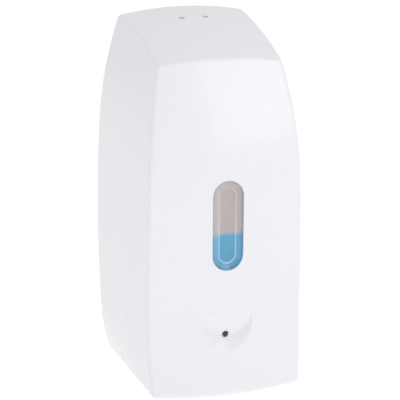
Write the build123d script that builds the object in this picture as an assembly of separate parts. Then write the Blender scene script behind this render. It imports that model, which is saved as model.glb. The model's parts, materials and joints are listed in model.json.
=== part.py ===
"""Wall mounted automatic soap dispenser, an assembly of separate pieces.

Millimetres. X runs to the right, Y points into the wall, and Z is up, so the front faces -Y and the
wall's surface is the plane Y = 0. While the pieces are made, Z = 0 is the height of the body's lower
corners. Each piece is moved down by SCREW_HEIGHT as it is written, which puts the origin at the
middle of the four wall screws.
"""

import os
from math import asin, cos, hypot, pi, radians, sin, sqrt, tan

from build123d import *

# ---------------------------------------------------------------- outer shape of the body
BODY_HEIGHT = 280.0          # lower corners to the upper corners at the wall
BODY_DEPTH = 119.0           # wall to the middle of the front, at half height
BACK_HALF_WIDTH = 70.6       # widest half width, at the wall
FRONT_HALF_WIDTH = 62.1      # widest half width of the tapering sides, at FRONT_STATION
FRONT_STATION = 11.0         # how far beyond BODY_DEPTH that front width is taken
BACK_WIDEST = 120.0          # height where the back is widest
FRONT_WIDEST = 40.0          # height where the front is widest
SIDE_FOOT = 40.0             # the sides draw in below this height
BACK_SHOULDER = 85.0         # the sides draw in above this much below BODY_HEIGHT, at the wall
FRONT_SHOULDER = 120.0       # the same at the front
BACK_RADII = (160.0, 1440.0, 310.0)     # foot, middle and shoulder arcs of the side, at the wall
FRONT_RADII = (615.0, 4260.0, 440.0)    # the same at the front
BASE_ARCH = 2.2              # drop of the arched base between its corners
PLAN_RADIUS = 350.0          # bulge of the front, seen from above
FLARE_TOP = 70.0             # the front flares out below this height
FLARE_RADIUS = 330.0
BROW = 130.0                 # the front leans back above this much below BODY_HEIGHT
BROW_RADIUS = 315.0
CROWN_RISE = 5.0             # rise of the top between its corners at the wall
CROWN_RADIUS = 270.0         # arch of the top, seen from the front
TOP_RADIUS = 289.0           # fall of the top towards the front, seen from the side
TOP_ARC_BEHIND = 18.5        # how far behind the wall that arc is highest
EDGE_ROUNDING = 3.5
FOOT_ROUNDING = 4.5          # rounding between the sides and the base

# ---------------------------------------------------------------- front cover
COVER_WALL = 2.6
WALL_GAP = 0.5               # cover rim to the wall
COVER_GAP = 0.8              # cover to the fixed pieces inside it
LIP_WIDTH = 5.0              # inward lip round the cover's open base
WINDOW_HEIGHT = 134.5        # middle of the window
WINDOW_LENGTH = 71.5
WINDOW_WIDTH = 25.0
WINDOW_SINK = 1.4            # depth of the lens's middle below its rim
WINDOW_BEVEL = 5.7           # width of the lens's sloping border
LENS_GAP = 0.05
LENS_THICKNESS = 2.2
LENS_FLANGE = 3.0            # flange of the lens behind the cover wall
LENS_FLANGE_THICKNESS = 1.4
SCOOP_HEIGHT = 64.0          # height where the indicator's scoop fades into the front
SCOOP_RADIUS = 21.0          # radius of the scoop's flat floor
SCOOP_DEPTH = 4.7            # depth of the floor at its lowest point
SCOOP_FLARE = 45.0           # slope of the scoop's rim, degrees
INDICATOR_HEIGHT = 45.8
INDICATOR_RADIUS = 2.6
INDICATOR_PROUD = 0.6        # light pipe's dome above the scoop's floor
INDICATOR_COLLAR = 1.2       # thickness of the light pipe's collar behind the cover
INDICATOR_COLLAR_RADIUS = 3.8
KEY_HOLE_RADIUS = 2.5
KEY_SPACING = 19.5
KEY_FROM_WALL = 31.4

# ---------------------------------------------------------------- hinge of the cover
HINGE_FROM_WALL = 9.0
HINGE_HEIGHT = 9.0
HINGE_CORNER = 8.5           # radius of the cover's corner about the hinge
PIN_RADIUS = 2.5
PIN_RUNNING = 0.06           # radial clearance of every turning pin
BOSS_RADIUS = 5.8
BOSS_INNER = 53.0            # where each boss starts, from the middle
PIN_TIP_GAP = 0.8
EAR_GAP = 1.0                # ear to boss
EAR_WIDTH = 7.0

# ---------------------------------------------------------------- back plate and wall screws
PLATE_THICKNESS = 3.5
RIB_HEIGHT = 3.0
RIB_WIDTH = 2.0
RIB_SPACING = 25.0
SCREW_HEIGHT = 155.0         # middle of the wall screws above the lower corners
SCREW_SPACING_X = 84.0
SCREW_SPACING_Z = 130.0
SCREW_HOLE_RADIUS = 2.5
SCREW_BOSS_RADIUS = 6.5

# ---------------------------------------------------------------- base housing
HOUSING_WALL = 2.0
HOUSING_TOP = 76.0
FLOOR_THICKNESS = 2.2
FLOOR_RECESS = 0.6           # floor above the cover's lower edge
CONTROL_FACE = 15.0          # flat face with the controls, back from BODY_DEPTH
CONTROL_FOOT = 50.0          # lower edge of that face
SWING_GAP = 0.8              # housing to the swinging scoop of the cover
DECK_THICKNESS = 2.5
DECK_RIM = 3.0
DECK_MARGIN = 2.0            # deck beyond the tank, all round
FIT_GAP = 0.2                # pieces that slip into each other

# ---------------------------------------------------------------- pump line, on one upright axis
LINE_FROM_FRONT = 37.0       # nozzle, pump ports and tank spout, back from BODY_DEPTH
GEAR_MODULE = 0.8
GEAR_TEETH = 12
GEAR_PRESSURE = 25.0         # degrees
GEAR_BACKLASH = 0.16
GEAR_WIDTH = 8.0
GEAR_SIDE_GAP = 0.1
GEAR_TIP_GAP = 0.15
SHAFT_RADIUS = 1.0
PUMP_HEIGHT = 38.0
PUMP_HALF_HEIGHT = 12.0
PUMP_HALF_DEPTH = 13.5
PUMP_BACK_WALL = 6.0
PUMP_COVER_THICKNESS = 3.0
PORT_RADIUS = 3.0
PORT_BORE = 1.5
PORT_LENGTH = 6.0
TUBE_WALL = 1.2
HOSE_END_GAP = 0.3           # hose end to the shoulder of its barb
MOTOR_RADIUS = 12.2
MOTOR_LENGTH = 31.0
MOTOR_CAP_LENGTH = 4.0
PUMP_SCREW_RADIUS = 1.2
NOZZLE_RADIUS = 7.0
NOZZLE_FLANGE = 9.5
NOZZLE_TIP_RADIUS = 4.2
NOZZLE_DROP = 2.4            # nozzle tip below the floor
NOZZLE_FLANGE_THICKNESS = 1.6
VALVE_RADIUS = 3.0
VALVE_LENGTH = 5.0           # from the nozzle's tip
VALVE_SINK = 0.8
VALVE_WALL = 1.2
SOCKET_DEPTH = 10.0
SPOUT_RADIUS = 6.0
SPOUT_GAP = 0.08
SEAL_RADIUS = 1.0            # round section of the spout's ring
SPOUT_SKIN = 0.8             # spout wall left inside the ring's groove

# ---------------------------------------------------------------- tank
TANK_INSET = 8.0             # tank inside the body's outer surface
TANK_FROM_WALL = 8.5
TANK_WALL = 1.8
TANK_CORNER = 9.0            # radius of the tank's upright corners
TANK_TOP = 60.0              # tank top below BODY_HEIGHT
TANK_SEAT_GAP = 0.2
SOAP_HEIGHT = 124.0
SOAP_GAP = 0.15
MOUTH_WIDTH = 56.0
MOUTH_DEPTH = 28.0
COLLAR_WALL = 2.0
COLLAR_HEIGHT = 5.0
LID_HINGE_FROM_WALL = 45.0
LID_HINGE_RISE = 6.0
LID_THICKNESS = 1.8
LID_SKIRT_GAP = 0.5
LID_SKIRT = 1.6
LID_SKIRT_DEPTH = 4.0        # skirt below the collar's rim
LID_REAR_CUT = 8.0           # skirt cut back from the collar's rear
LID_PIN_RADIUS = 1.25
LID_SEAL_THICKNESS = 1.5
LID_EAR_WIDTH = 4.0
LID_EAR_RADIUS = 2.5
LID_KNUCKLE = 2.6
LID_EAR_GAP = 0.4            # lid's knuckle to the tank's ears
LID_TAB_WIDTH = 16.0
LID_TAB_REACH = 3.2

# ---------------------------------------------------------------- latch of the cover
LATCH_HEIGHT = 22.0          # latch bar's underside below BODY_HEIGHT
LATCH_HALF_WIDTH = 20.6
LATCH_THICKNESS = 4.0
LATCH_TRAVEL = 4.0
LATCH_BACK = 12.0            # bar's rear edge from the wall
LATCH_AHEAD = 3.2            # bar's front edge beyond the posts
POST_RADIUS = 2.2
POST_GAP = 2.2               # post top below the cover's inner surface
CATCH_FROM_WALL = 13.5
CATCH_THICKNESS = 2.4
CATCH_HALF_WIDTH = 8.0
CATCH_GAP = 0.5
CATCH_BITE = 3.0             # nose above the catch's lower edge
NOSE_RISE = 10.6
NOSE_THICKNESS = 4.0
GUIDE_WALL = 2.6
GUIDE_GAP = 0.4
SPRING_WIRE = 0.5
SPRING_TURNS = 4
LATCH_SPRING_RADIUS = 3.2

# ---------------------------------------------------------------- batteries and their bay
CELL_RADIUS = 7.15
CELL_LENGTH = 49.2
CELL_TIP_RADIUS = 2.7
CELL_TIP = 1.2
CELL_GAP = 1.3               # between the two rows
CELL_STAND = 6.25            # underside of the cells above the lower corners
CELL_TOP_GAP = 0.6           # cells to the bay's roof
CELL_END_ROOM = 3.6          # contact plate and spring beyond each end of a row
BAY_FROM_WALL = 21.0
BAY_WALL = 1.6
CONTACT_THICKNESS = 0.5
CELL_SPRING_RADIUS = 3.4
DOOR_THICKNESS = 2.0
DOOR_GAP = 0.5
DOOR_LEDGE = 1.5             # ledge of the bay that the door's rear edge closes on
DOOR_HALF_WIDTH = 50.0
DOOR_KNUCKLE = 2.2
DOOR_PIN_RADIUS = 1.3
DOOR_PIN_LENGTH = 3.4
DOOR_HINGE_HEIGHT = 3.2
FINGER_RADIUS = 7.0          # finger notch in the door's rear edge
FINGER_DEPTH = 2.0

# ---------------------------------------------------------------- electronics and controls
BOARD_THICKNESS = 1.6
MAIN_BOARD_HALF_WIDTH = 46.0
MAIN_BOARD_DEPTH = 38.0
MAIN_BOARD_FROM_WALL = 18.0
BOARD_STAND = 5.25           # main board above the bay's roof
BOARD_SCREW_RADIUS = 1.0
BOARD_POST_RADIUS = 3.0
PAN_HEAD_RADIUS = 2.2        # heads of the board and pump screws
PAN_HEAD_HEIGHT = 1.4
HOUSING_SCREW_RADIUS = 1.4
GUIDE_SCREW_RADIUS = 1.5
CASE_HEAD_RADIUS = 2.8       # heads of the housing and guide screws
CASE_HEAD_HEIGHT = 1.8
SCREW_SLACK = 0.2            # screw in a clearance hole
SCREW_END_SKIN = 0.8         # back plate left behind a blind screw hole
CONTROL_HALF_WIDTH = 36.0
CONTROL_BOARD_BACK = 4.0     # control board behind the control face's inner side
BUTTON_OFFSET = 26.0         # dose button and power switch, each side of the middle
BUTTON_HEIGHT = 62.0
BUTTON_RADIUS = 4.0
BUTTON_PROUD = 1.6
BUTTON_TRAVEL = 1.2
CONTROL_GAP = 0.25
KNOB_WIDTH = 4.0
KNOB_HEIGHT = 5.0
KNOB_TRAVEL = 3.0
KNOB_SKIRT = 1.5
CONTROLLER = (10.0, 10.0, 1.4)      # width, depth and height of the main chip
CHIP_OFFSET = -9.0
DRIVER = (5.0, 4.0, 1.2)            # the motor driver chip
DRIVER_OFFSET = 12.0
CONNECTOR = (9.0, 6.0, 6.0)
CONNECTOR_OFFSET = 26.0
RESISTOR = (3.0, 2.0, 0.8)
RESISTOR_OFFSET = 20.0
CAPACITOR_RADIUS = 3.0
CAPACITOR_HEIGHT = 8.0
CAPACITOR_PITCH = 10.0
SENSOR_AHEAD = 14.0          # sensor window, ahead of the nozzle
SENSOR_LENGTH = 22.0
SENSOR_WIDTH = 9.0
SENSOR_WALL = 1.5
SENSOR_FACE = 1.7            # thickness of the window's face
SENSOR_RIM = 0.6             # window's rim above the floor inside
EYE_RADIUS = 1.5
LED_RADIUS = 2.5
LED_LENGTH = 6.0
LED_FLANGE = 2.9             # radius of the LED's flange
LED_HOLDER = 1.8             # radius of the holder behind it
LED_HOLE_RADIUS = 3.0
BOARD_SCREW_BITE = 5.0       # depth of the main board's screw holes
CONTROL_SCREW_BITE = 3.6

# ---------------------------------------------------------------- worked out from the above
PLATE_INSET = COVER_WALL + COVER_GAP
LINE_Y = -(BODY_DEPTH - LINE_FROM_FRONT)
CROWN_HEIGHT = BODY_HEIGHT + CROWN_RISE
DECK_TOP = HOUSING_TOP + DECK_THICKNESS
TANK_BOTTOM = DECK_TOP + TANK_SEAT_GAP
TANK_LID_LEVEL = BODY_HEIGHT - TANK_TOP
HINGE_Y = -HINGE_FROM_WALL
CONTROL_Y = -(BODY_DEPTH - CONTROL_FACE)
CELL_PITCH = 2 * CELL_RADIUS + CELL_GAP
CELL_HEIGHT = CELL_STAND + CELL_RADIUS
BAY_ROOF = CELL_HEIGHT + CELL_RADIUS + CELL_TOP_GAP
BAY_HALF_WIDTH = CELL_LENGTH + CELL_TIP + CELL_END_ROOM
MAIN_BOARD_HEIGHT = BAY_ROOF + BAY_WALL + BOARD_STAND
NOWHERE = 20.0               # how far cuts run past a surface
ACROSS = BACK_HALF_WIDTH + NOWHERE


# ================================================================ simple shapes
def block(x, y, z):
    """A box between pairs of X, Y and Z."""
    spans = [abs(b - a) for a, b in (x, y, z)]
    middle = [(a + b) / 2 for a, b in (x, y, z)]
    return Pos(*middle) * Box(*spans)


def rod(radius, start, end):
    """A round bar from start to end."""
    run = Vector(*end) - Vector(*start)
    plane = Plane(origin=start, z_dir=run)
    return plane * Cylinder(radius, run.length, align=(Align.CENTER, Align.CENTER, Align.MIN))


def tube(radius, bore, start, end):
    """A round bar with a hole along it."""
    return rod(radius, start, end) - rod(bore, start, end)


def prism(face, depth):
    """A sketch drawn on the wall plane, carried forward by depth."""
    return extrude(face, amount=depth)


def on_line(z):
    """A point on the upright axis of the spout, the pump's ports and the nozzle."""
    return (0, LINE_Y, z)


def about_hinge(radius, start=-ACROSS, end=ACROSS):
    """A round bar about the cover's hinge axis, between two X."""
    return rod(radius, (start, HINGE_Y, HINGE_HEIGHT), (end, HINGE_Y, HINGE_HEIGHT))


def coil(radius, wire, turns, height):
    """A compression spring that stands on the XY plane, its wire inside that height."""
    path = Helix(pitch=(height - 2 * wire) / turns, height=height - 2 * wire, radius=radius)
    section = Plane(origin=path @ 0, z_dir=path % 0) * Circle(wire)
    return Pos(0, 0, wire) * sweep(section, path=path)


def screw(seat, way, radius, length, head_radius, head_height):
    """A screw whose head stands on seat, its axis pointing way out of the hole."""
    seat, way = Vector(*seat), Vector(*way)
    shank = rod(radius, tuple(seat - way * length), tuple(seat))
    return shank + rod(head_radius, tuple(seat), tuple(seat + way * head_height))


# ================================================================ the body's surface
def side_arc(corner, lean, radius, height):
    """Middle and end of an arc that leaves corner at a lean and goes on to a height."""
    centre_x = corner[0] - radius * cos(lean)
    centre_z = corner[1] - radius * sin(lean)
    end = asin((height - centre_z) / radius)
    return [
        (centre_x + radius * cos(turn), centre_z + radius * sin(turn))
        for turn in ((lean + end) / 2, end)
    ]


def outline(depth, half_width, widest, breaks, radii, inset, base):
    """The body's outline seen from the front, at a distance from the wall, drawn in by inset."""
    foot, middle, shoulder = (radius - inset for radius in radii)
    centre = half_width - inset - middle
    low, high = (asin((height - widest) / middle) for height in breaks)
    low_point, mid_point, high_point = (
        (centre + middle * cos(lean), widest + middle * sin(lean))
        for lean in (low, (low + high) / 2, high)
    )
    foot_mid, foot_end = side_arc(low_point, low, foot, base)
    top_mid, top_end = side_arc(high_point, high, shoulder, BODY_HEIGHT + NOWHERE)

    def at(point, side):
        return (side * point[0], -depth, point[1])

    arcs = [
        (foot_end, foot_mid, low_point),
        (low_point, mid_point, high_point),
        (high_point, top_mid, top_end),
    ]
    edges = [ThreePointArc(at(foot_end, -1), (0, -depth, base - BASE_ARCH), at(foot_end, 1))]
    edges += [ThreePointArc(*(at(point, 1) for point in arc)) for arc in arcs]
    edges += [Line(at(top_end, 1), at(top_end, -1))]
    edges += [ThreePointArc(*(at(point, -1) for point in reversed(arc))) for arc in reversed(arcs)]
    return Face(Wire(edges))


def front_depth(height, inset=0.0):
    """Distance from the wall to the middle of the front, at a height."""
    brow = BODY_HEIGHT - BROW
    if height < FLARE_TOP:
        return BODY_DEPTH + FLARE_RADIUS - sqrt((FLARE_RADIUS + inset) ** 2 - (FLARE_TOP - height) ** 2)
    if height < brow:
        return BODY_DEPTH - inset
    return BODY_DEPTH - BROW_RADIUS + sqrt((BROW_RADIUS - inset) ** 2 - (height - brow) ** 2)


def top_height(x, y, inset=0.0):
    """Height of the top over a point, drawn in by inset."""
    centre = CROWN_HEIGHT - sqrt(TOP_RADIUS**2 - TOP_ARC_BEHIND**2)
    ridge = centre + sqrt((TOP_RADIUS - inset) ** 2 - (y - TOP_ARC_BEHIND) ** 2)
    axis = CROWN_HEIGHT - CROWN_RADIUS
    return axis + sqrt((ridge - axis) ** 2 - x**2)


def spin(face, axis, half_angle):
    """A face turned about an axis by the same angle each way."""
    return revolve(face.rotate(axis, -half_angle), axis, 2 * half_angle)


def front_solid(inset):
    """Everything behind the bulging front."""
    brow = BODY_HEIGHT - BROW
    top = BODY_HEIGHT + NOWHERE
    heights = (-NOWHERE, (FLARE_TOP - NOWHERE) / 2, FLARE_TOP, brow, (brow + top) / 2, top)
    low, flare, upright, lean, crest, high = ((0, -front_depth(z, inset), z) for z in heights)
    axis_y = PLAN_RADIUS - BODY_DEPTH
    inner = axis_y - 1.0
    profile = Wire([
        ThreePointArc(low, flare, upright),
        Line(upright, lean),
        ThreePointArc(lean, crest, high),
        Line(high, (0, inner, top)),
        Line((0, inner, top), (0, inner, -NOWHERE)),
        Line((0, inner, -NOWHERE), low),
    ])
    return spin(Face(profile), Axis((0, axis_y, 0), (0, 0, 1)), 30)


def top_cut(inset):
    """Everything above the arched top, as deep as the body."""
    reach = BODY_DEPTH + 3 * NOWHERE
    axis_z = CROWN_HEIGHT - CROWN_RADIUS
    front, middle, back = ((0, y, top_height(0, y, inset)) for y in (-reach, -reach / 2, NOWHERE))
    floor_front = (0, -reach, axis_z + 1)
    floor_back = (0, NOWHERE, axis_z + 1)
    profile = Wire([
        ThreePointArc(front, middle, back),
        Line(back, floor_back),
        Line(floor_back, floor_front),
        Line(floor_front, front),
    ])
    crown = spin(Face(profile), Axis((0, 0, axis_z), (0, 1, 0)), 40)
    above = (BODY_HEIGHT - BROW, BODY_HEIGHT + 3 * NOWHERE)
    slab = block((-ACROSS, ACROSS), (-reach + 1, NOWHERE - 1), above)
    return slab - crown


def body_solid(inset, base=None):
    """The whole body as one solid, drawn in by inset, with its base at a height."""
    base = inset if base is None else base
    back_breaks = (SIDE_FOOT, BODY_HEIGHT - BACK_SHOULDER)
    front_breaks = (SIDE_FOOT, BODY_HEIGHT - FRONT_SHOULDER)
    back = outline(0, BACK_HALF_WIDTH, BACK_WIDEST, back_breaks, BACK_RADII, inset, base)
    front = outline(
        BODY_DEPTH + FRONT_STATION, FRONT_HALF_WIDTH, FRONT_WIDEST, front_breaks, FRONT_RADII, inset, base
    )
    return (loft([back, front], ruled=True) & front_solid(inset)) - top_cut(inset)


def crisp_edges(solid):
    """Edges where two faces meet at an angle, away from the wall."""
    found = []
    for edge in solid.edges():
        middle = edge.position_at(0.5)
        faces = [face for face in solid.faces() if any(edge.is_same(other) for other in face.edges())]
        if middle.Y < -0.01 and len(faces) == 2:
            first, second = (face.normal_at(middle) for face in faces)
            if first.get_angle(second) > 10:
                found.append(edge)
    return found


def rounded_body(inset, base=None):
    """The body with its edges rounded, the rounding drawn in with it."""
    solid = body_solid(inset, base)
    low = (inset if base is None else base) + 1.0
    feet = [edge for edge in crisp_edges(solid) if edge.bounding_box().max.Z < low]
    feet = [edge for edge in feet if abs(edge.position_at(0.5).X) > 1]
    solid = fillet(feet, FOOT_ROUNDING - min(inset, COVER_WALL))
    return fillet(crisp_edges(solid), EDGE_ROUNDING - min(inset, COVER_WALL))


def slab_of_body(inset, y, z, base=None):
    """The part of the drawn in body between pairs of Y and Z."""
    return body_solid(inset, base) & block((-ACROSS, ACROSS), y, z)


# ================================================================ front cover
def scoop_cutter(grow):
    """The flared disc that hollows the indicator's scoop, made larger by grow."""
    tilt = asin(SCOOP_DEPTH / SCOOP_RADIUS)
    flare = tan(radians(SCOOP_FLARE))
    reach = 3 * SCOOP_DEPTH
    radius = SCOOP_RADIUS + grow * (1 / cos(radians(SCOOP_FLARE)) - 1)
    frustum = Cone(
        radius, radius + (reach + grow) * flare, reach + grow,
        align=(Align.CENTER, Align.CENTER, Align.MIN),
    )
    face = Plane(
        origin=(0, -front_depth(SCOOP_HEIGHT), SCOOP_HEIGHT),
        x_dir=(1, 0, 0),
        z_dir=(0, -cos(tilt), -sin(tilt)),
    )
    return face * Pos(0, 0, -grow) * frustum


def window_outline(grow):
    """The window's capsule on the wall plane, larger by grow."""
    slot = SlotOverall(WINDOW_LENGTH + 2 * grow, WINDOW_WIDTH + 2 * grow, rotation=90)
    return Plane.XZ * Pos(0, WINDOW_HEIGHT) * slot


def in_front(face, back):
    """A sketch on the wall plane carried forward from a depth to beyond the front."""
    reach = BODY_DEPTH + 2 * NOWHERE
    return Pos(0, -back, 0) * prism(face, reach - back)


def hinge_boss_ends():
    """Where the cover's hinge bosses and the pins' tips end, from the middle."""
    section = body_solid(COVER_WALL) & about_hinge(PIN_RADIUS)
    wall = section.bounding_box().max.X
    return wall + 1.0, wall - PIN_TIP_GAP


def indicator_axis(depth):
    """A point on the light pipe's axis, at a distance from the wall."""
    return (0, -depth, INDICATOR_HEIGHT)


def scoop_slope():
    """How much the scoop's floor deepens for each millimetre down."""
    return SCOOP_DEPTH / sqrt(SCOOP_RADIUS**2 - SCOOP_DEPTH**2)


def scoop_floor_depth():
    """Distance from the wall to the scoop's floor where the light pipe comes through."""
    return front_depth(SCOOP_HEIGHT) - (SCOOP_HEIGHT - INDICATOR_HEIGHT) * scoop_slope()


def light_pipe_collar():
    """Distance from the wall to the front of the light pipe's collar, behind the sloping floor."""
    wall = COVER_WALL * sqrt(1 + scoop_slope() ** 2)
    return scoop_floor_depth() - wall - INDICATOR_COLLAR_RADIUS * scoop_slope() - LENS_GAP


def make_front_cover():
    """The white cover: one shell, open at the wall and, inside a lip, at the base."""
    outer = rounded_body(0.0)
    hollow = rounded_body(COVER_WALL) - scoop_cutter(COVER_WALL)
    shell = outer - hollow
    below = (-NOWHERE, HINGE_HEIGHT)
    base_opening = slab_of_body(LIP_WIDTH, (NOWHERE, -BODY_DEPTH - NOWHERE), below, -NOWHERE / 2)
    shell -= base_opening & about_hinge(swing_radius() + SWING_GAP)
    shell -= slab_of_body(COVER_WALL, (0, HINGE_Y - corner_reach()), below, -NOWHERE / 2)
    shell -= block((-ACROSS, ACROSS), (-WALL_GAP, NOWHERE), (-NOWHERE, CROWN_HEIGHT + NOWHERE))
    scoop_zone = Plane.XZ * Pos(0, SCOOP_HEIGHT) * Rectangle(4 * SCOOP_RADIUS, 4 * SCOOP_RADIUS)
    shell -= scoop_cutter(0.0) & in_front(scoop_zone, BODY_DEPTH / 2)
    shell -= in_front(window_outline(0.0), BODY_DEPTH / 2)
    shell -= rod(INDICATOR_RADIUS + LENS_GAP, indicator_axis(BODY_DEPTH / 2), indicator_axis(2 * BODY_DEPTH))

    boss_end, bore_end = hinge_boss_ends()
    for side in (-1, 1):
        boss = about_hinge(BOSS_RADIUS, side * BOSS_INNER, side * boss_end)
        shell += boss & body_solid(1.0)
        shell -= about_hinge(PIN_RADIUS + PIN_RUNNING, side * BOSS_INNER, side * bore_end)
        hole = (side * KEY_SPACING / 2, -KEY_FROM_WALL)
        shell -= rod(KEY_HOLE_RADIUS, (*hole, BODY_HEIGHT - NOWHERE), (*hole, BODY_HEIGHT + NOWHERE))

    corner = block((-ACROSS, ACROSS), (HINGE_Y, NOWHERE), below)
    shell -= corner - about_hinge(HINGE_CORNER)

    catch = block(
        (-CATCH_HALF_WIDTH, CATCH_HALF_WIDTH),
        (-CATCH_FROM_WALL, -CATCH_FROM_WALL - CATCH_THICKNESS),
        (catch_foot(), CROWN_HEIGHT),
    )
    shell += catch & body_solid(COVER_WALL / 2)
    return shell


def make_window_lens():
    """The clear window: flush rim, sloping border, sunk middle and a flange behind the cover."""
    rim = in_front(window_outline(-LENS_GAP), BODY_DEPTH - LENS_THICKNESS - WINDOW_SINK)
    flange = in_front(window_outline(LENS_FLANGE), BODY_DEPTH - COVER_WALL - LENS_FLANGE_THICKNESS)
    lens = (rim & body_solid(0.0)) + (flange & body_solid(COVER_WALL + LENS_GAP))
    middle = window_outline(-WINDOW_BEVEL)
    sink = loft([
        Pos(0, -(BODY_DEPTH - WINDOW_SINK), 0) * middle,
        Pos(0, -BODY_DEPTH - 1.0, 0) * window_outline(WINDOW_BEVEL / WINDOW_SINK - LENS_GAP),
    ])
    back = in_front(window_outline(-WINDOW_BEVEL), 0) - in_front(
        window_outline(-WINDOW_BEVEL), BODY_DEPTH - LENS_THICKNESS - WINDOW_SINK
    )
    return lens - sink - back


def make_indicator_lens():
    """The light pipe: a short clear pin with a domed end in the scoop and a collar behind."""
    floor = scoop_floor_depth()
    inner = light_pipe_collar()
    pipe = rod(INDICATOR_RADIUS, indicator_axis(inner), indicator_axis(floor + INDICATOR_PROUD))
    pipe += rod(INDICATOR_COLLAR_RADIUS, indicator_axis(inner - INDICATOR_COLLAR), indicator_axis(inner))
    front = pipe.faces().sort_by(Axis.Y)[0]
    return fillet(front.edges(), 0.8)


# ================================================================ back plate
def screw_places():
    """Where the four wall screws go: X and height."""
    return [
        (x * SCREW_SPACING_X / 2, SCREW_HEIGHT + z * SCREW_SPACING_Z / 2) for x in (-1, 1) for z in (-1, 1)
    ]


def ear_span():
    """Inner and outer side of the back plate's hinge ears, from the middle."""
    outer = BOSS_INNER - EAR_GAP
    return outer - EAR_WIDTH, outer


def make_back_plate():
    """The plate that is screwed to the wall, with ribs, screw bosses and hinge ears."""
    top = CROWN_HEIGHT + NOWHERE
    plate = slab_of_body(PLATE_INSET, (0, -PLATE_THICKNESS), (-NOWHERE, top))
    front = -(PLATE_THICKNESS + RIB_HEIGHT)
    rib_zone = slab_of_body(PLATE_INSET + 6.0, (0, front), (DECK_TOP + 4.0, guide_foot() - 3.0))
    columns = [column * RIB_SPACING for column in range(-2, 3)]
    ribs = [block((x - RIB_WIDTH / 2, x + RIB_WIDTH / 2), (0, front), (0, top)) for x in columns]
    step = (guide_foot() - DECK_TOP) / 5
    levels = [DECK_TOP + step * (row + 0.5) for row in range(5)]
    ribs += [block((-ACROSS, ACROSS), (0, front), (z - RIB_WIDTH / 2, z + RIB_WIDTH / 2)) for z in levels]
    for rib in ribs:
        plate += rib & rib_zone
    for x, z in screw_places():
        plate += rod(SCREW_BOSS_RADIUS, (x, 0, z), (x, front, z))
    for x, z in screw_places():
        plate -= rod(SCREW_HOLE_RADIUS, (x, NOWHERE, z), (x, -NOWHERE, z))
    inner, outer = ear_span()
    span = (HINGE_HEIGHT - BOSS_RADIUS, HINGE_HEIGHT + BOSS_RADIUS)
    for side in (-1, 1):
        ear = about_hinge(BOSS_RADIUS, side * inner, side * outer)
        plate += ear + block((side * inner, side * outer), (0, HINGE_Y), span)
        plate -= about_hinge(BOSS_RADIUS + COVER_GAP, side * (BOSS_INNER - COVER_GAP), side * ACROSS)
        plate -= about_hinge(PIN_RADIUS, side * inner, side * outer)
    for room in corner_room(0.0):
        plate -= room
    for x, z in housing_screw_places():
        plate -= rod(HOUSING_SCREW_RADIUS, (x, -PLATE_THICKNESS - 1, z), (x, -SCREW_END_SKIN, z))
    return plate


def make_hinge_pins():
    """Two steel pins, pressed into the ears, on which the cover turns."""
    inner, _ = ear_span()
    _, bore_end = hinge_boss_ends()
    tip = bore_end - PIN_TIP_GAP
    return [about_hinge(PIN_RADIUS, side * inner, side * tip) for side in (-1, 1)]


def corner_reach():
    """Radius about the hinge that the cover's lower corners need as it opens."""
    return HINGE_HEIGHT * sqrt(2) + COVER_GAP


def corner_room(grow):
    """Room beside the hinge for the cover's lower corners to swing up, larger by grow."""
    foot = (HINGE_Y - corner_reach(), 0.2)
    section = body_solid(PLATE_INSET, 0.0) & rod(0.1, (0, *foot), (ACROSS, *foot))
    inner = section.bounding_box().max.X - grow
    return [about_hinge(corner_reach() + grow, side * inner, side * ACROSS) for side in (-1, 1)]


# ================================================================ base housing
def swing_radius():
    """Closest that the cover's scoop comes to the hinge axis, less a gap."""
    floor_back = front_depth(SCOOP_HEIGHT) - SCOOP_DEPTH - COVER_WALL
    pipe_back = light_pipe_collar() - INDICATOR_COLLAR
    scoop = hypot(floor_back - HINGE_FROM_WALL, SCOOP_HEIGHT - SCOOP_RADIUS - COVER_WALL - HINGE_HEIGHT)
    pipe = hypot(pipe_back - HINGE_FROM_WALL, INDICATOR_HEIGHT - INDICATOR_COLLAR_RADIUS - HINGE_HEIGHT)
    return min(scoop, pipe) - SWING_GAP


def housing_form(inset, low, high):
    """The housing's outer form drawn in by inset, between two heights."""
    back = -PLATE_THICKNESS - FIT_GAP / 2 - inset
    form = slab_of_body(PLATE_INSET + inset, (back, -2 * BODY_DEPTH), (low, high), -NOWHERE / 2)
    step = CONTROL_FOOT - inset
    upper = form & block((-ACROSS, ACROSS), (0, CONTROL_Y + inset), (step - 0.1, HOUSING_TOP + NOWHERE))
    if low >= step:
        return upper
    swing = about_hinge(swing_radius() - inset)
    lower = form & block((-ACROSS, ACROSS), (0, -2 * BODY_DEPTH), (-NOWHERE, step)) & swing
    return lower if high <= step else lower + upper


def floor_solid(low, high):
    """A layer that follows the arched base, between two heights above it."""
    inset = LIP_WIDTH + COVER_GAP
    return (body_solid(inset, low) - body_solid(inset, high)) & about_hinge(swing_radius())


def housing_screw_places():
    """Where the housing is screwed to the back plate: X and height."""
    return [(x, z) for x in (-44.0, 44.0) for z in (34.0, HOUSING_TOP - 10.0)]


def bay_span():
    """Front and back of the battery bay, from the wall."""
    return BAY_FROM_WALL, BAY_FROM_WALL + 2 * CELL_PITCH + 1.0


def door_axis():
    """Y and height of the battery door's hinge."""
    return -(bay_span()[1] - DOOR_KNUCKLE - 0.4), DOOR_HINGE_HEIGHT


def corner_notches(grow):
    """Room for the hinge ears and bosses at the housing's lower rear corners."""
    inner, _ = ear_span()
    edge = inner - COVER_GAP - grow
    depth = HINGE_FROM_WALL + BOSS_RADIUS + COVER_GAP + grow
    height = HINGE_HEIGHT + BOSS_RADIUS + COVER_GAP + grow
    return [block((side * edge, side * ACROSS), (NOWHERE, -depth), (-NOWHERE, height)) for side in (-1, 1)]


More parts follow.
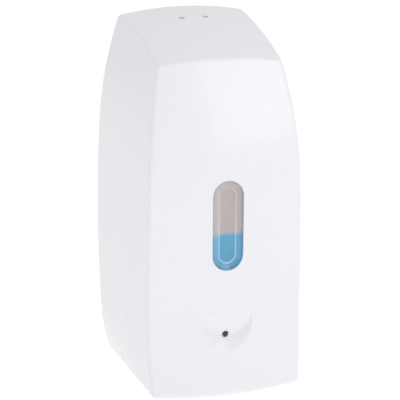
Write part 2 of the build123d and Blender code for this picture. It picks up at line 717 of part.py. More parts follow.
def make_base_housing():
    """The open-topped housing for the pump, batteries and boards."""
    floor_top = FLOOR_RECESS + FLOOR_THICKNESS
    shell = housing_form(0.0, COVER_WALL + COVER_GAP, HOUSING_TOP)
    hollow = housing_form(HOUSING_WALL, COVER_WALL + COVER_GAP + FLOOR_THICKNESS, HOUSING_TOP + 1)
    for notch in corner_notches(HOUSING_WALL) + corner_room(HOUSING_WALL):
        hollow -= notch
    shell -= hollow
    plinth = floor_solid(FLOOR_RECESS, COVER_WALL + COVER_GAP + FLOOR_THICKNESS)
    plinth &= block((-ACROSS, ACROSS), (-PLATE_THICKNESS - FIT_GAP / 2, -2 * BODY_DEPTH), (-NOWHERE, NOWHERE))
    shell += plinth
    for notch in corner_notches(0.0) + corner_room(0.0):
        shell -= notch
    shell = with_battery_bay(shell, floor_top)

    for x, z in housing_screw_places():
        through = ((x, 0, z), (x, -PLATE_THICKNESS - 2 * HOUSING_WALL, z))
        shell -= rod(HOUSING_SCREW_RADIUS + SCREW_SLACK, *through)
    shell -= rod(NOZZLE_RADIUS + FIT_GAP, on_line(-NOWHERE), on_line(NOWHERE))
    shell -= in_floor(SENSOR_LENGTH + 2 * FIT_GAP, SENSOR_WIDTH + 2 * FIT_GAP)
    shell = with_control_openings(shell)
    for x, y in board_screw_places():
        shell += rod(BOARD_POST_RADIUS, (x, y, BAY_ROOF), (x, y, MAIN_BOARD_HEIGHT))
        bottom = MAIN_BOARD_HEIGHT - BOARD_SCREW_BITE
        shell -= rod(BOARD_SCREW_RADIUS, (x, y, bottom), (x, y, MAIN_BOARD_HEIGHT))
    board = control_board_y()
    for x, z in control_screw_places():
        shell += rod(BOARD_POST_RADIUS, (x, board, z), (x, CONTROL_Y + HOUSING_WALL / 2, z))
        shell -= rod(BOARD_SCREW_RADIUS, (x, board, z), (x, board - CONTROL_SCREW_BITE, z))
    return shell + motor_saddle()


def with_battery_bay(shell, floor_top):
    """The housing with the bay for the cells and the opening and bearings of its door."""
    near, far = bay_span()
    wall = BAY_WALL
    sides = (-BAY_HALF_WIDTH - wall, BAY_HALF_WIDTH + wall)
    box = block(sides, (-near + wall, -far - wall), (floor_top, BAY_ROOF + wall))
    shell += box & housing_form(HOUSING_WALL / 4, COVER_WALL + COVER_GAP, HOUSING_TOP)
    shell -= block((-BAY_HALF_WIDTH, BAY_HALF_WIDTH), (-near, -far), (floor_top - 1.0, BAY_ROOF))

    door_y, door_z = door_axis()
    opening = DOOR_HALF_WIDTH + DOOR_GAP
    swing = door_corner() + DOOR_GAP
    shell -= block((-opening, opening), (-near - DOOR_LEDGE, door_y), (-NOWHERE, CELL_STAND))
    shell -= block((-opening, opening), (door_y, door_y - swing), (-NOWHERE, door_z))
    shell -= rod(swing, (-opening, door_y, door_z), (opening, door_y, door_z))
    pin_reach = DOOR_HALF_WIDTH + DOOR_PIN_LENGTH + FIT_GAP
    lug = DOOR_KNUCKLE + 1.0
    for side in (-1, 1):
        lug_sides = (side * opening, side * (pin_reach + BAY_WALL))
        shell += block(lug_sides, (door_y + lug, door_y - lug), (COVER_WALL, door_z + lug))
        pin_hole = DOOR_PIN_RADIUS + PIN_RUNNING
        shell -= rod(pin_hole, (0, door_y, door_z), (side * pin_reach, door_y, door_z))
    return shell


def with_control_openings(shell):
    """The housing with openings for the indicator, the dose button and the power knob."""
    front = (CONTROL_Y + 2 * HOUSING_WALL, CONTROL_Y - 2 * HOUSING_WALL)
    light_way = rod(LED_HOLE_RADIUS, indicator_axis(-CONTROL_Y - NOWHERE / 2), indicator_axis(BODY_DEPTH))
    shell -= light_way
    hole = [(-BUTTON_OFFSET, y, BUTTON_HEIGHT) for y in front]
    shell -= rod(BUTTON_RADIUS + CONTROL_GAP, *hole)
    slot_half = KNOB_WIDTH / 2 + CONTROL_GAP
    slot_rise = KNOB_HEIGHT / 2 + CONTROL_GAP
    slot_sides = (BUTTON_OFFSET - slot_half, BUTTON_OFFSET + slot_half + KNOB_TRAVEL)
    return shell - block(slot_sides, front, (BUTTON_HEIGHT - slot_rise, BUTTON_HEIGHT + slot_rise))


def in_floor(length, width):
    """A capsule cut through the floor for the sensor window."""
    slot = Pos(0, sensor_y()) * SlotOverall(length, width)
    return Pos(0, 0, -NOWHERE / 2) * extrude(slot, amount=NOWHERE)


def sensor_y():
    """Y of the middle of the sensor window."""
    return LINE_Y - SENSOR_AHEAD


def make_deck():
    """The shelf on the housing that the tank stands on, with the socket for its spout."""
    rear = -PLATE_THICKNESS - RIB_HEIGHT - FIT_GAP
    deck = slab_of_body(TANK_INSET - DECK_MARGIN, (rear, CONTROL_Y), (HOUSING_TOP, DECK_TOP))
    inset = HOUSING_WALL + FIT_GAP
    locate = housing_form(inset, HOUSING_TOP - DECK_RIM, HOUSING_TOP)
    locate -= housing_form(inset + HOUSING_WALL, HOUSING_TOP - DECK_RIM - 1, HOUSING_TOP + 1)
    half = BOARD_POST_RADIUS + 2 * FIT_GAP
    for x, _ in control_screw_places():
        locate -= block((x - half, x + half), (control_board_y() + half, CONTROL_Y), (0, HOUSING_TOP - 0.01))
    deck += locate
    bottom = DECK_TOP - SOCKET_DEPTH
    barb = bottom - HOUSING_WALL - PORT_LENGTH
    deck += rod(SPOUT_RADIUS + SPOUT_GAP + HOUSING_WALL, on_line(bottom - HOUSING_WALL), on_line(DECK_TOP))
    deck += rod(PORT_RADIUS, on_line(barb), on_line(bottom))
    deck -= rod(SPOUT_RADIUS + SPOUT_GAP, on_line(bottom), on_line(DECK_TOP + 1))
    return deck - rod(PORT_BORE, on_line(0), on_line(DECK_TOP))


# ================================================================ pump
def gear_centres():
    """Y of the driven and the idle gear, side by side under the ports."""
    half = GEAR_MODULE * GEAR_TEETH / 2
    return LINE_Y + half, LINE_Y - half


def gear_outline(turn):
    """Spur gear outline with involute flanks, turned by an angle in degrees."""
    pressure = radians(GEAR_PRESSURE)
    pitch = GEAR_MODULE * GEAR_TEETH / 2
    base = pitch * cos(pressure)
    tip = pitch + GEAR_MODULE
    root = pitch - 1.2 * GEAR_MODULE
    involute_at_pitch = tan(pressure) - pressure
    half_tooth = pi / (2 * GEAR_TEETH) - GEAR_BACKLASH / (2 * pitch)

    def flank(radius):
        ratio = min(1.0, base / radius)
        angle = asin(sqrt(1 - ratio**2))
        return half_tooth + involute_at_pitch - (tan(angle) - angle)

    def at(radius, angle):
        return (radius * cos(angle), radius * sin(angle))

    edges = []
    step = 2 * pi / GEAR_TEETH
    foot = max(base, root)
    for tooth in range(GEAR_TEETH):
        middle = radians(turn) + tooth * step
        right = [at(r, middle - flank(r)) for r in (foot, (foot + tip) / 2, tip)]
        left = [at(r, middle + flank(r)) for r in (tip, (foot + tip) / 2, foot)]
        root_in = at(root, middle - flank(foot))
        root_out = at(root, middle + flank(foot))
        next_root = at(root, middle + step - flank(foot))
        if foot > root:
            edges.append(Line(root_in, right[0]))
        edges.append(ThreePointArc(*right))
        edges.append(ThreePointArc(right[2], at(tip, middle), left[0]))
        edges.append(ThreePointArc(*left))
        if foot > root:
            edges.append(Line(left[2], root_out))
        edges.append(ThreePointArc(root_out, at(root, middle + step / 2), next_root))
    return Face(Wire(edges))


def gear(centre_y, turn):
    """One gear across the pump's middle, its axis along X."""
    plane = Plane(origin=(-GEAR_WIDTH / 2, centre_y, PUMP_HEIGHT), x_dir=(0, 1, 0), z_dir=(1, 0, 0))
    return extrude(plane * gear_outline(turn), amount=GEAR_WIDTH)


def pump_face():
    """X of the joint between the pump body and its cover plate, and of the body's motor side."""
    cavity = GEAR_WIDTH / 2 + GEAR_SIDE_GAP
    return cavity, -cavity - PUMP_BACK_WALL


def pump_screw_places():
    """Y and height of the pump cover's screws."""
    y = PUMP_HALF_DEPTH - 2.4
    z = PUMP_HALF_HEIGHT - 2.4
    return [(LINE_Y + a * y, PUMP_HEIGHT + b * z) for a in (-1, 1) for b in (-1, 1)]


def pump_block(x):
    """The pump's rounded rectangular section between two X."""
    form = block(x, (LINE_Y - PUMP_HALF_DEPTH, LINE_Y + PUMP_HALF_DEPTH),
                 (PUMP_HEIGHT - PUMP_HALF_HEIGHT, PUMP_HEIGHT + PUMP_HALF_HEIGHT))
    return fillet(form.edges().filter_by(Axis.X), 2.0)


def make_pump_body():
    """The pump body with its two gear chambers and two ports."""
    open_face, motor_face = pump_face()
    body = pump_block((motor_face, open_face))
    ends = (PUMP_HEIGHT - PUMP_HALF_HEIGHT - PORT_LENGTH, PUMP_HEIGHT + PUMP_HALF_HEIGHT + PORT_LENGTH)
    body += rod(PORT_RADIUS, on_line(ends[0]), on_line(ends[1]))
    chamber = GEAR_MODULE * (GEAR_TEETH / 2 + 1) + GEAR_TIP_GAP
    for centre in gear_centres():
        body -= rod(chamber, (-open_face, centre, PUMP_HEIGHT), (open_face, centre, PUMP_HEIGHT))
    body -= rod(PORT_BORE, on_line(ends[0]), on_line(ends[1]))
    driven, idle = gear_centres()
    body -= rod(SHAFT_RADIUS + PIN_RUNNING, (motor_face, driven, PUMP_HEIGHT), (0, driven, PUMP_HEIGHT))
    body -= rod(SHAFT_RADIUS, (motor_face + 2.0, idle, PUMP_HEIGHT), (0, idle, PUMP_HEIGHT))
    for y, z in pump_screw_places():
        body -= rod(PUMP_SCREW_RADIUS, (open_face - 9.0, y, z), (open_face, y, z))
    return body


def make_pump_cover():
    """The plate that closes the gear chambers."""
    open_face, _ = pump_face()
    plate = pump_block((open_face, open_face + PUMP_COVER_THICKNESS))
    driven, idle = gear_centres()
    blind = open_face + PUMP_COVER_THICKNESS - 1.0
    plate -= rod(SHAFT_RADIUS + PIN_RUNNING, (0, driven, PUMP_HEIGHT), (blind, driven, PUMP_HEIGHT))
    plate -= rod(SHAFT_RADIUS, (0, idle, PUMP_HEIGHT), (blind, idle, PUMP_HEIGHT))
    for y, z in pump_screw_places():
        plate -= rod(PUMP_SCREW_RADIUS + SCREW_SLACK, (0, y, z), (NOWHERE, y, z))
    return plate


def make_pump_screws():
    """Four pan head screws through the pump's cover plate."""
    open_face, _ = pump_face()
    outer = open_face + PUMP_COVER_THICKNESS
    screws = []
    for y, z in pump_screw_places():
        screw = rod(PUMP_SCREW_RADIUS, (open_face - 8.0, y, z), (outer, y, z))
        head = rod(PAN_HEAD_RADIUS, (outer, y, z), (outer + PAN_HEAD_HEIGHT, y, z))
        screws.append(screw + head)
    return screws


def make_idler_pin():
    """The fixed pin of the idle gear."""
    open_face, motor_face = pump_face()
    _, idle = gear_centres()
    return rod(SHAFT_RADIUS, (motor_face + 2.0, idle, PUMP_HEIGHT),
               (open_face + PUMP_COVER_THICKNESS - 1.0, idle, PUMP_HEIGHT))


def make_drive_gear():
    """The gear on the motor's shaft."""
    driven, _ = gear_centres()
    wheel = gear(driven, 0.0)
    return wheel - rod(SHAFT_RADIUS, (-NOWHERE, driven, PUMP_HEIGHT), (NOWHERE, driven, PUMP_HEIGHT))


def make_idler_gear():
    """The gear that the drive gear turns, on its fixed pin."""
    _, idle = gear_centres()
    wheel = gear(idle, 180.0 / GEAR_TEETH)
    bore = SHAFT_RADIUS + PIN_RUNNING
    return wheel - rod(bore, (-NOWHERE, idle, PUMP_HEIGHT), (NOWHERE, idle, PUMP_HEIGHT))


def motor_span():
    """X of the motor's front face and of its rear."""
    _, motor_face = pump_face()
    return motor_face, motor_face - MOTOR_LENGTH


def make_motor_shaft():
    """The motor's shaft with its rotor, running through the pump."""
    open_face, motor_face = pump_face()
    driven, _ = gear_centres()
    front, rear = motor_span()
    shaft = rod(SHAFT_RADIUS, (rear + 1.0, driven, PUMP_HEIGHT),
                (open_face + PUMP_COVER_THICKNESS - 1.3, driven, PUMP_HEIGHT))
    rotor = rod(MOTOR_RADIUS - 4.0, (rear + 8.0, driven, PUMP_HEIGHT), (front - 5.0, driven, PUMP_HEIGHT))
    return shaft + rotor


def make_motor_can():
    """The motor's steel can, open at the rear."""
    driven, _ = gear_centres()
    front, rear = motor_span()
    back = rear + MOTOR_CAP_LENGTH
    can = rod(MOTOR_RADIUS, (back, driven, PUMP_HEIGHT), (front, driven, PUMP_HEIGHT))
    can -= rod(MOTOR_RADIUS - 1.0, (back, driven, PUMP_HEIGHT), (front - 1.5, driven, PUMP_HEIGHT))
    can -= rod(SHAFT_RADIUS + PIN_RUNNING, (back, driven, PUMP_HEIGHT), (front, driven, PUMP_HEIGHT))
    return can


def make_motor_cap():
    """The motor's plastic end cap with its two terminals."""
    driven, _ = gear_centres()
    _, rear = motor_span()
    back = rear + MOTOR_CAP_LENGTH
    cap = rod(MOTOR_RADIUS - 1.0 - 0.02, (back, driven, PUMP_HEIGHT), (back + 2.5, driven, PUMP_HEIGHT))
    cap += rod(MOTOR_RADIUS, (rear + 0.6, driven, PUMP_HEIGHT), (back, driven, PUMP_HEIGHT))
    cap -= rod(SHAFT_RADIUS + PIN_RUNNING, (rear + 1.0, driven, PUMP_HEIGHT), (back + 3, driven, PUMP_HEIGHT))
    for z in (PUMP_HEIGHT - 7.0, PUMP_HEIGHT + 7.0):
        cap += block((rear - 3.0, rear + 0.6), (driven - 0.4, driven + 0.4), (z - 1.2, z + 1.2))
    return cap


def motor_saddle():
    """Two cradles that hold the motor off the floor."""
    driven, _ = gear_centres()
    front, rear = motor_span()
    length = front - rear
    saddles = []
    floor = COVER_WALL + COVER_GAP + FLOOR_THICKNESS / 2
    for share in (0.3, 0.75):
        x = rear + share * length
        cradle = block((x - 1.2, x + 1.2), (driven - MOTOR_RADIUS - 1.5, driven + MOTOR_RADIUS + 1.5),
                       (floor, PUMP_HEIGHT - 4.0))
        cradle -= rod(MOTOR_RADIUS + 0.1, (rear - 9, driven, PUMP_HEIGHT), (front, driven, PUMP_HEIGHT))
        saddles.append(cradle)
    return saddles


def make_hoses():
    """Inlet and outlet hose, each pushed over two barbs."""
    socket_barb = DECK_TOP - SOCKET_DEPTH - HOUSING_WALL - PORT_LENGTH
    pump_top = PUMP_HEIGHT + PUMP_HALF_HEIGHT
    pump_bottom = PUMP_HEIGHT - PUMP_HALF_HEIGHT
    outer = PORT_RADIUS + TUBE_WALL
    gap = HOSE_END_GAP
    inlet = tube(outer, PORT_RADIUS, on_line(pump_top + gap), on_line(socket_barb + PORT_LENGTH - gap))
    outlet = tube(outer, PORT_RADIUS, on_line(nozzle_levels()[2] + gap), on_line(pump_bottom - gap))
    return inlet, outlet


# ================================================================ nozzle and sensor
def floor_levels():
    """Lowest and highest height of the floor in the middle of the body."""
    return FLOOR_RECESS - BASE_ARCH, COVER_WALL + COVER_GAP + FLOOR_THICKNESS - BASE_ARCH


def nozzle_levels():
    """Heights of the nozzle's tip, its flange's top, its shoulder and its barb's end."""
    low, high = floor_levels()
    shoulder = high + 3.0 + 4.0
    return low - NOZZLE_DROP, high + 2.0 + 2.2, shoulder, shoulder + PORT_LENGTH


def make_nozzle():
    """The outlet nozzle, dropped into the floor from above."""
    tip, flange, shoulder, barb = nozzle_levels()
    low, _ = floor_levels()
    nozzle = rod(NOZZLE_RADIUS, on_line(low), on_line(shoulder))
    nozzle += rod(NOZZLE_TIP_RADIUS, on_line(tip), on_line(low))
    nozzle += rod(NOZZLE_FLANGE, on_line(flange), on_line(flange + NOZZLE_FLANGE_THICKNESS))
    nozzle += rod(PORT_RADIUS, on_line(shoulder), on_line(barb))
    nozzle -= rod(PORT_BORE, on_line(tip), on_line(barb))
    return nozzle - rod(VALVE_RADIUS, on_line(tip), on_line(tip + VALVE_LENGTH))


def make_drip_valve():
    """The rubber valve in the nozzle's tip, slit across its domed end."""
    tip = nozzle_levels()[0]
    top = tip + VALVE_LENGTH
    valve = rod(VALVE_RADIUS, on_line(tip + VALVE_SINK), on_line(top))
    valve -= rod(VALVE_RADIUS - VALVE_WALL, on_line(tip + VALVE_SINK + VALVE_WALL), on_line(top))
    slit = VALVE_RADIUS / 2
    return valve - block((-slit, slit), (LINE_Y - 0.15, LINE_Y + 0.15), (tip, tip + VALVE_LENGTH / 2))


def make_sensor_window():
    """The dark window in the floor that the sensor looks through, flanged inside."""
    low, high = floor_levels()
    place = Pos(0, sensor_y())
    window = extrude(place * SlotOverall(SENSOR_LENGTH, SENSOR_WIDTH), amount=high - low + SENSOR_RIM)
    inner = SlotOverall(SENSOR_LENGTH - 2 * SENSOR_WALL, SENSOR_WIDTH - 2 * SENSOR_WALL)
    hollow = Pos(0, 0, SENSOR_FACE) * extrude(place * inner, amount=NOWHERE)
    return Pos(0, 0, low + 0.1) * (window - hollow)


def sensor_board_height():
    """Height of the sensor board's underside."""
    return floor_levels()[1] + 3.0


def make_sensor_board():
    """The small board over the sensor window."""
    low = sensor_board_height()
    sketch = Rectangle(SENSOR_LENGTH + 4, SENSOR_WIDTH - 1)
    return Pos(0, sensor_y(), low) * extrude(sketch, amount=BOARD_THICKNESS)


def make_sensor_eyes():
    """The infra-red sender and receiver under the sensor board."""
    top = sensor_board_height()
    eyes = []
    for side in (-1, 1):
        x = side * SENSOR_LENGTH / 4
        eye = rod(EYE_RADIUS, (x, sensor_y(), top - 3.6), (x, sensor_y(), top))
        eye = fillet(eye.faces().sort_by(Axis.Z)[0].edges(), EYE_RADIUS * 0.8)
        eyes.append(eye)
    return eyes


# ================================================================ tank
def tank_form(inset, low, high):
    """The tank's form drawn in by inset, between two heights, its upright edges rounded."""
    depths = (-TANK_FROM_WALL - inset, -2 * BODY_DEPTH)
    form = slab_of_body(TANK_INSET + inset, depths, (low, high), -NOWHERE / 2)
    upright = [edge for edge in crisp_edges(form) if edge.bounding_box().size.Z > 2]
    return fillet(upright, TANK_CORNER - inset)


def mouth_y():
    """Y of the middle of the filler mouth."""
    return -(LID_HINGE_FROM_WALL + LID_HINGE_RISE / 2 + LID_SKIRT_GAP + COLLAR_WALL + MOUTH_DEPTH / 2)


def mouth_form(grow, low, high):
    """The filler mouth's rounded rectangle, larger by grow, between two heights."""
    sketch = Pos(0, mouth_y()) * RectangleRounded(MOUTH_WIDTH + 2 * grow, MOUTH_DEPTH + 2 * grow, 6.0 + grow)
    return Pos(0, 0, low) * extrude(sketch, amount=high - low)


def lid_axis():
    """Y and height of the lid's hinge."""
    return -LID_HINGE_FROM_WALL, TANK_LID_LEVEL + LID_HINGE_RISE


def whole_tank():
    """Both halves of the tank: filler collar and hinge ears above, spout below."""
    top = TANK_LID_LEVEL
    tank = tank_form(0.0, TANK_BOTTOM, top)
    tank += mouth_form(COLLAR_WALL, top - 1.0, top + COLLAR_HEIGHT)
    hinge_y, hinge_z = lid_axis()
    outer = lid_ear_outer()
    for side in (-1, 1):
        span = (side * (outer - LID_EAR_WIDTH), side * outer)
        ear = block(span, (hinge_y - LID_EAR_RADIUS, hinge_y + LID_EAR_RADIUS), (top - 1.0, hinge_z))
        ear += rod(LID_EAR_RADIUS, (span[0], hinge_y, hinge_z), (span[1], hinge_y, hinge_z))
        tank += ear
        tank -= rod(LID_PIN_RADIUS, (span[0], hinge_y, hinge_z), (span[1], hinge_y, hinge_z))
    spout_end = DECK_TOP - SOCKET_DEPTH + 1.0
    tank += rod(SPOUT_RADIUS, on_line(spout_end), on_line(TANK_BOTTOM + 1.0))
    groove = (on_line(seal_level() - SEAL_RADIUS), on_line(seal_level() + SEAL_RADIUS))
    tank -= tube(SPOUT_RADIUS + 1, SPOUT_RADIUS + SPOUT_GAP - 2 * SEAL_RADIUS, *groove)
    tank -= tank_form(TANK_WALL, TANK_BOTTOM + TANK_WALL, top - TANK_WALL)
    tank -= mouth_form(0.0, top - 2 * TANK_WALL, top + COLLAR_HEIGHT + 1)
    bore = SPOUT_RADIUS - 2 * SEAL_RADIUS - SPOUT_SKIN
    return tank - rod(bore, on_line(spout_end), on_line(TANK_BOTTOM + 2 * TANK_WALL))


def tank_joint(low, high):
    """Everything between two heights, for parting the tank where its halves are welded."""
    return block((-ACROSS, ACROSS), (0, -2 * BODY_DEPTH), (low, high))


def make_tank_body():
    """The see-through lower half of the tank, open at the top."""
    return whole_tank() & tank_joint(0, TANK_LID_LEVEL - TANK_WALL)


def make_tank_top():
    """The welded top of the tank, with the filler collar and the lid's ears."""
    return whole_tank() & tank_joint(TANK_LID_LEVEL - TANK_WALL, BODY_HEIGHT)


def seal_level():
    """Height of the middle of the spout's ring."""
    return DECK_TOP - SOCKET_DEPTH / 2


def make_spout_seal():
    """The rubber ring in the spout's groove."""
    middle = SPOUT_RADIUS + SPOUT_GAP - SEAL_RADIUS - 0.02
    return Pos(0, LINE_Y, seal_level()) * Torus(middle, SEAL_RADIUS - 0.02)


def make_soap():
    """The liquid soap in the tank."""
    inset = TANK_WALL + SOAP_GAP
    return tank_form(inset, TANK_BOTTOM + inset, SOAP_HEIGHT)


def lid_ear_outer():
    """Outer side of the tank's lid ears, from the middle."""
    return MOUTH_WIDTH / 2 + COLLAR_WALL - LID_EAR_GAP


def make_tank_lid():
    """The filler lid with a skirt on three sides and a knuckle on its hinge."""
    hinge_y, hinge_z = lid_axis()
    rim = TANK_LID_LEVEL + COLLAR_HEIGHT
    underside = rim + LID_SEAL_THICKNESS
    top = underside + LID_THICKNESS
    inner = COLLAR_WALL + LID_SKIRT_GAP
    outer = inner + LID_SKIRT
    lid = mouth_form(outer, rim - LID_SKIRT_DEPTH, top) - mouth_form(inner, 0, underside)
    rear = mouth_y() + MOUTH_DEPTH / 2 + COLLAR_WALL - LID_REAR_CUT
    lid -= block((-ACROSS, ACROSS), (rear, 0), (0, underside))
    lid -= block((-ACROSS, ACROSS), (hinge_y - LID_KNUCKLE - LID_EAR_GAP, 0), (0, top + NOWHERE))
    knuckle_end = lid_ear_outer() - LID_EAR_WIDTH - LID_EAR_GAP
    lid += rod(LID_KNUCKLE, (-knuckle_end, hinge_y, hinge_z), (knuckle_end, hinge_y, hinge_z))
    web = (hinge_y, hinge_y - 2 * LID_KNUCKLE)
    lid += block((-knuckle_end, knuckle_end), web, (underside, top))
    tab_root = mouth_y() - MOUTH_DEPTH / 2 - outer
    tab_sides = (-LID_TAB_WIDTH / 2, LID_TAB_WIDTH / 2)
    lid += block(tab_sides, (tab_root + FIT_GAP, tab_root + FIT_GAP - LID_TAB_REACH), (underside, top))
    bore = LID_PIN_RADIUS + PIN_RUNNING
    return lid - rod(bore, (-ACROSS, hinge_y, hinge_z), (ACROSS, hinge_y, hinge_z))


def make_lid_seal():
    """The rubber gasket between the lid and the collar's rim."""
    rim = TANK_LID_LEVEL + COLLAR_HEIGHT
    seal = mouth_form(COLLAR_WALL + 0.2, rim + 0.05, rim + LID_SEAL_THICKNESS)
    return seal - mouth_form(-0.6, rim - 1, rim + LID_SEAL_THICKNESS + 1)


def make_lid_pin():
    """The lid's hinge pin, pressed into the tank's ears."""
    hinge_y, hinge_z = lid_axis()
    end = lid_ear_outer()
    return rod(LID_PIN_RADIUS, (-end, hinge_y, hinge_z), (end, hinge_y, hinge_z))


# ================================================================ latch
def latch_level():
    """Height of the latch bar's underside."""
    return BODY_HEIGHT - LATCH_HEIGHT


def nose_top():
    """Height of the latch nose's top."""
    return latch_level() + LATCH_THICKNESS + NOSE_RISE


def catch_foot():
    """Height of the lower edge of the cover's catch."""
    return nose_top() - CATCH_BITE


def guide_foot():
    """Height of the underside of the latch guide."""
    return latch_level() - LATCH_TRAVEL - 6.0 - GUIDE_WALL


def latch_front():
    """Y of the latch bar's front edge."""
    return -KEY_FROM_WALL - LATCH_AHEAD


def make_cover_latch():
    """The sliding latch: two posts for the key and a nose that holds the cover's catch."""
    low = latch_level()
    high = low + LATCH_THICKNESS
    latch = block((-LATCH_HALF_WIDTH, LATCH_HALF_WIDTH), (-LATCH_BACK, latch_front()), (low, high))
    for side in (-1, 1):
        place = (side * KEY_SPACING / 2, -KEY_FROM_WALL)
        post_top = top_height(*place, COVER_WALL) - POST_GAP
        latch += rod(POST_RADIUS, (*place, high), (*place, post_top))
        spring_seat = (side * KEY_SPACING / 2, spring_y())
        latch -= rod(LATCH_SPRING_RADIUS + SPRING_WIRE + 0.4, (*spring_seat, low), (*spring_seat, low + 1.2))
    nose_back = -CATCH_FROM_WALL - CATCH_THICKNESS - CATCH_GAP
    nose = block((-6, 6), (nose_back, nose_back - NOSE_THICKNESS), (high - 0.5, nose_top()))
    ramp = nose.edges().filter_by(Axis.X).group_by(Axis.Z)[-1].sort_by(Axis.Y)[0]
    return latch + chamfer(ramp, 3.0, 2.0)


def spring_y():
    """Y of the latch springs."""
    return (-LATCH_BACK + latch_front()) / 2 - 1.0


def make_latch_springs():
    """Two springs that hold the latch up."""
    low = guide_foot() + GUIDE_WALL
    high = latch_level() + 1.2
    spring = coil(LATCH_SPRING_RADIUS, SPRING_WIRE, SPRING_TURNS, high - low - 0.04)
    return [Pos(side * KEY_SPACING / 2, spring_y(), low + 0.02) * spring for side in (-1, 1)]


def make_latch_guide():
    """The bracket on the back plate in which the latch slides."""
    low = guide_foot()
    high = latch_level() + LATCH_THICKNESS + GUIDE_GAP
    inner = LATCH_HALF_WIDTH + GUIDE_GAP
    outer = inner + GUIDE_WALL
    back = -PLATE_THICKNESS
    front = latch_front() - GUIDE_GAP - GUIDE_WALL
    guide = block((-outer, outer), (back, front), (low, low + GUIDE_WALL))
    guide += block((-outer - 8, outer + 8), (back, back - GUIDE_WALL), (low, high + GUIDE_WALL))
    guide += block((-outer, outer), (front + GUIDE_WALL, front), (low, high - LATCH_THICKNESS))
    for side in (-1, 1):
        guide += block((side * inner, side * outer), (back, front), (low, high + 1.6))
        guide += block((side * (inner - 2.4), side * outer), (back, front + NOWHERE / 2), (high, high + 1.6))
    for x, z in guide_screw_places():
        guide -= rod(GUIDE_SCREW_RADIUS, (x, 0, z), (x, -NOWHERE, z))
    return guide


def guide_screw_places():
    """Where the latch guide is screwed to the back plate: X and height."""
    x = LATCH_HALF_WIDTH + GUIDE_GAP + GUIDE_WALL + 4.5
    return [(side * x, guide_foot() + 9.0) for side in (-1, 1)]


# ================================================================ batteries
def cell_rows():
    """Y of the two rows of cells."""
    near, far = bay_span()
    middle = (near + far) / 2
    return [-(middle + side * CELL_PITCH / 2) for side in (-1, 1)]


def make_cells():
    """Four cylindrical cells, two end to end in each row, the rows head to tail."""
    cells = []
    for y, way in zip(cell_rows(), (1, -1)):
        for side in (-1, 1):
            start = side * (CELL_LENGTH + CELL_TIP + 0.6) / 2 - way * (CELL_LENGTH + CELL_TIP) / 2
            ends = [start, start + way * CELL_LENGTH, start + way * (CELL_LENGTH + CELL_TIP)]
            can = rod(CELL_RADIUS, (ends[0], y, CELL_HEIGHT), (ends[1], y, CELL_HEIGHT))
            can = fillet(can.edges(), 0.6)
            cells.append(can + rod(CELL_TIP_RADIUS, (ends[1], y, CELL_HEIGHT), (ends[2], y, CELL_HEIGHT)))
    return cells


def make_contacts():
    """The contact plates at the two ends of the bay."""
    plates = []
    half = CELL_RADIUS - 1.2
    rise = (CELL_HEIGHT - half, CELL_HEIGHT + half)
    for side in (-1, 1):
        x = (side * (BAY_HALF_WIDTH - CONTACT_THICKNESS), side * BAY_HALF_WIDTH)
        if side > 0:
            plates.append(block(x, (cell_rows()[0] + half, cell_rows()[1] - half), rise))
        else:
            plates += [block(x, (y - half, y + half), rise) for y in cell_rows()]
    return plates


def make_cell_springs():
    """The coil springs between the contact plates and the cells' flat ends."""
    springs = []
    tip = CELL_LENGTH + CELL_TIP + 0.3
    room = BAY_HALF_WIDTH - CONTACT_THICKNESS - tip
    spring = coil(CELL_SPRING_RADIUS, 0.4, 2, room - 0.04)
    for y, side in zip(cell_rows(), (-1, 1)):
        start = side * (tip + 0.02)
        springs.append(Pos(start, y, CELL_HEIGHT) * Rot(0, side * 90, 0) * spring)
    return springs


def door_corner():
    """Farthest that the door's hinge edge reaches from its hinge axis."""
    low, _ = floor_levels()
    return DOOR_HINGE_HEIGHT - low


def make_battery_door():
    """The battery door, curved like the base, with a knuckle along its front edge."""
    near, _ = bay_span()
    door_y, door_z = door_axis()
    sides = (-DOOR_HALF_WIDTH, DOOR_HALF_WIDTH)
    rear = -near - DOOR_LEDGE
    zone = block(sides, (rear - DOOR_GAP, door_y), (-NOWHERE, NOWHERE))
    plate = floor_solid(FLOOR_RECESS, FLOOR_RECESS + DOOR_THICKNESS) & zone
    knuckle = rod(DOOR_KNUCKLE, (sides[0], door_y, door_z), (sides[1], door_y, door_z))
    web = block(sides, (door_y, door_y + DOOR_THICKNESS), (FLOOR_RECESS, door_z))
    pin_tip = DOOR_HALF_WIDTH + DOOR_PIN_LENGTH
    door = plate + knuckle + web + rod(DOOR_PIN_RADIUS, (-pin_tip, door_y, door_z), (pin_tip, door_y, door_z))
    scoop_z = floor_levels()[0] - FINGER_RADIUS + FINGER_DEPTH
    return door - rod(FINGER_RADIUS, (0, rear, scoop_z), (0, rear - FINGER_RADIUS, scoop_z))


# ================================================================ boards and controls
def board_screw_places():
    """X and Y of the main board's screws."""
    x = MAIN_BOARD_HALF_WIDTH - 4.0
    return [
        (side * x, -MAIN_BOARD_FROM_WALL - MAIN_BOARD_DEPTH / 2 + row * (MAIN_BOARD_DEPTH / 2 - 4.0))
        for side in (-1, 1)
        for row in (-1, 1)
    ]


def make_main_board():
    """The main circuit board over the battery bay."""
    middle = -MAIN_BOARD_FROM_WALL - MAIN_BOARD_DEPTH / 2
    board = Pos(0, middle, MAIN_BOARD_HEIGHT) * extrude(
        RectangleRounded(2 * MAIN_BOARD_HALF_WIDTH, MAIN_BOARD_DEPTH, 2.0), amount=BOARD_THICKNESS)
    for x, y in board_screw_places():
        board -= rod(BOARD_SCREW_RADIUS + 2 * SCREW_SLACK, (x, y, 0), (x, y, HOUSING_TOP))
    return board


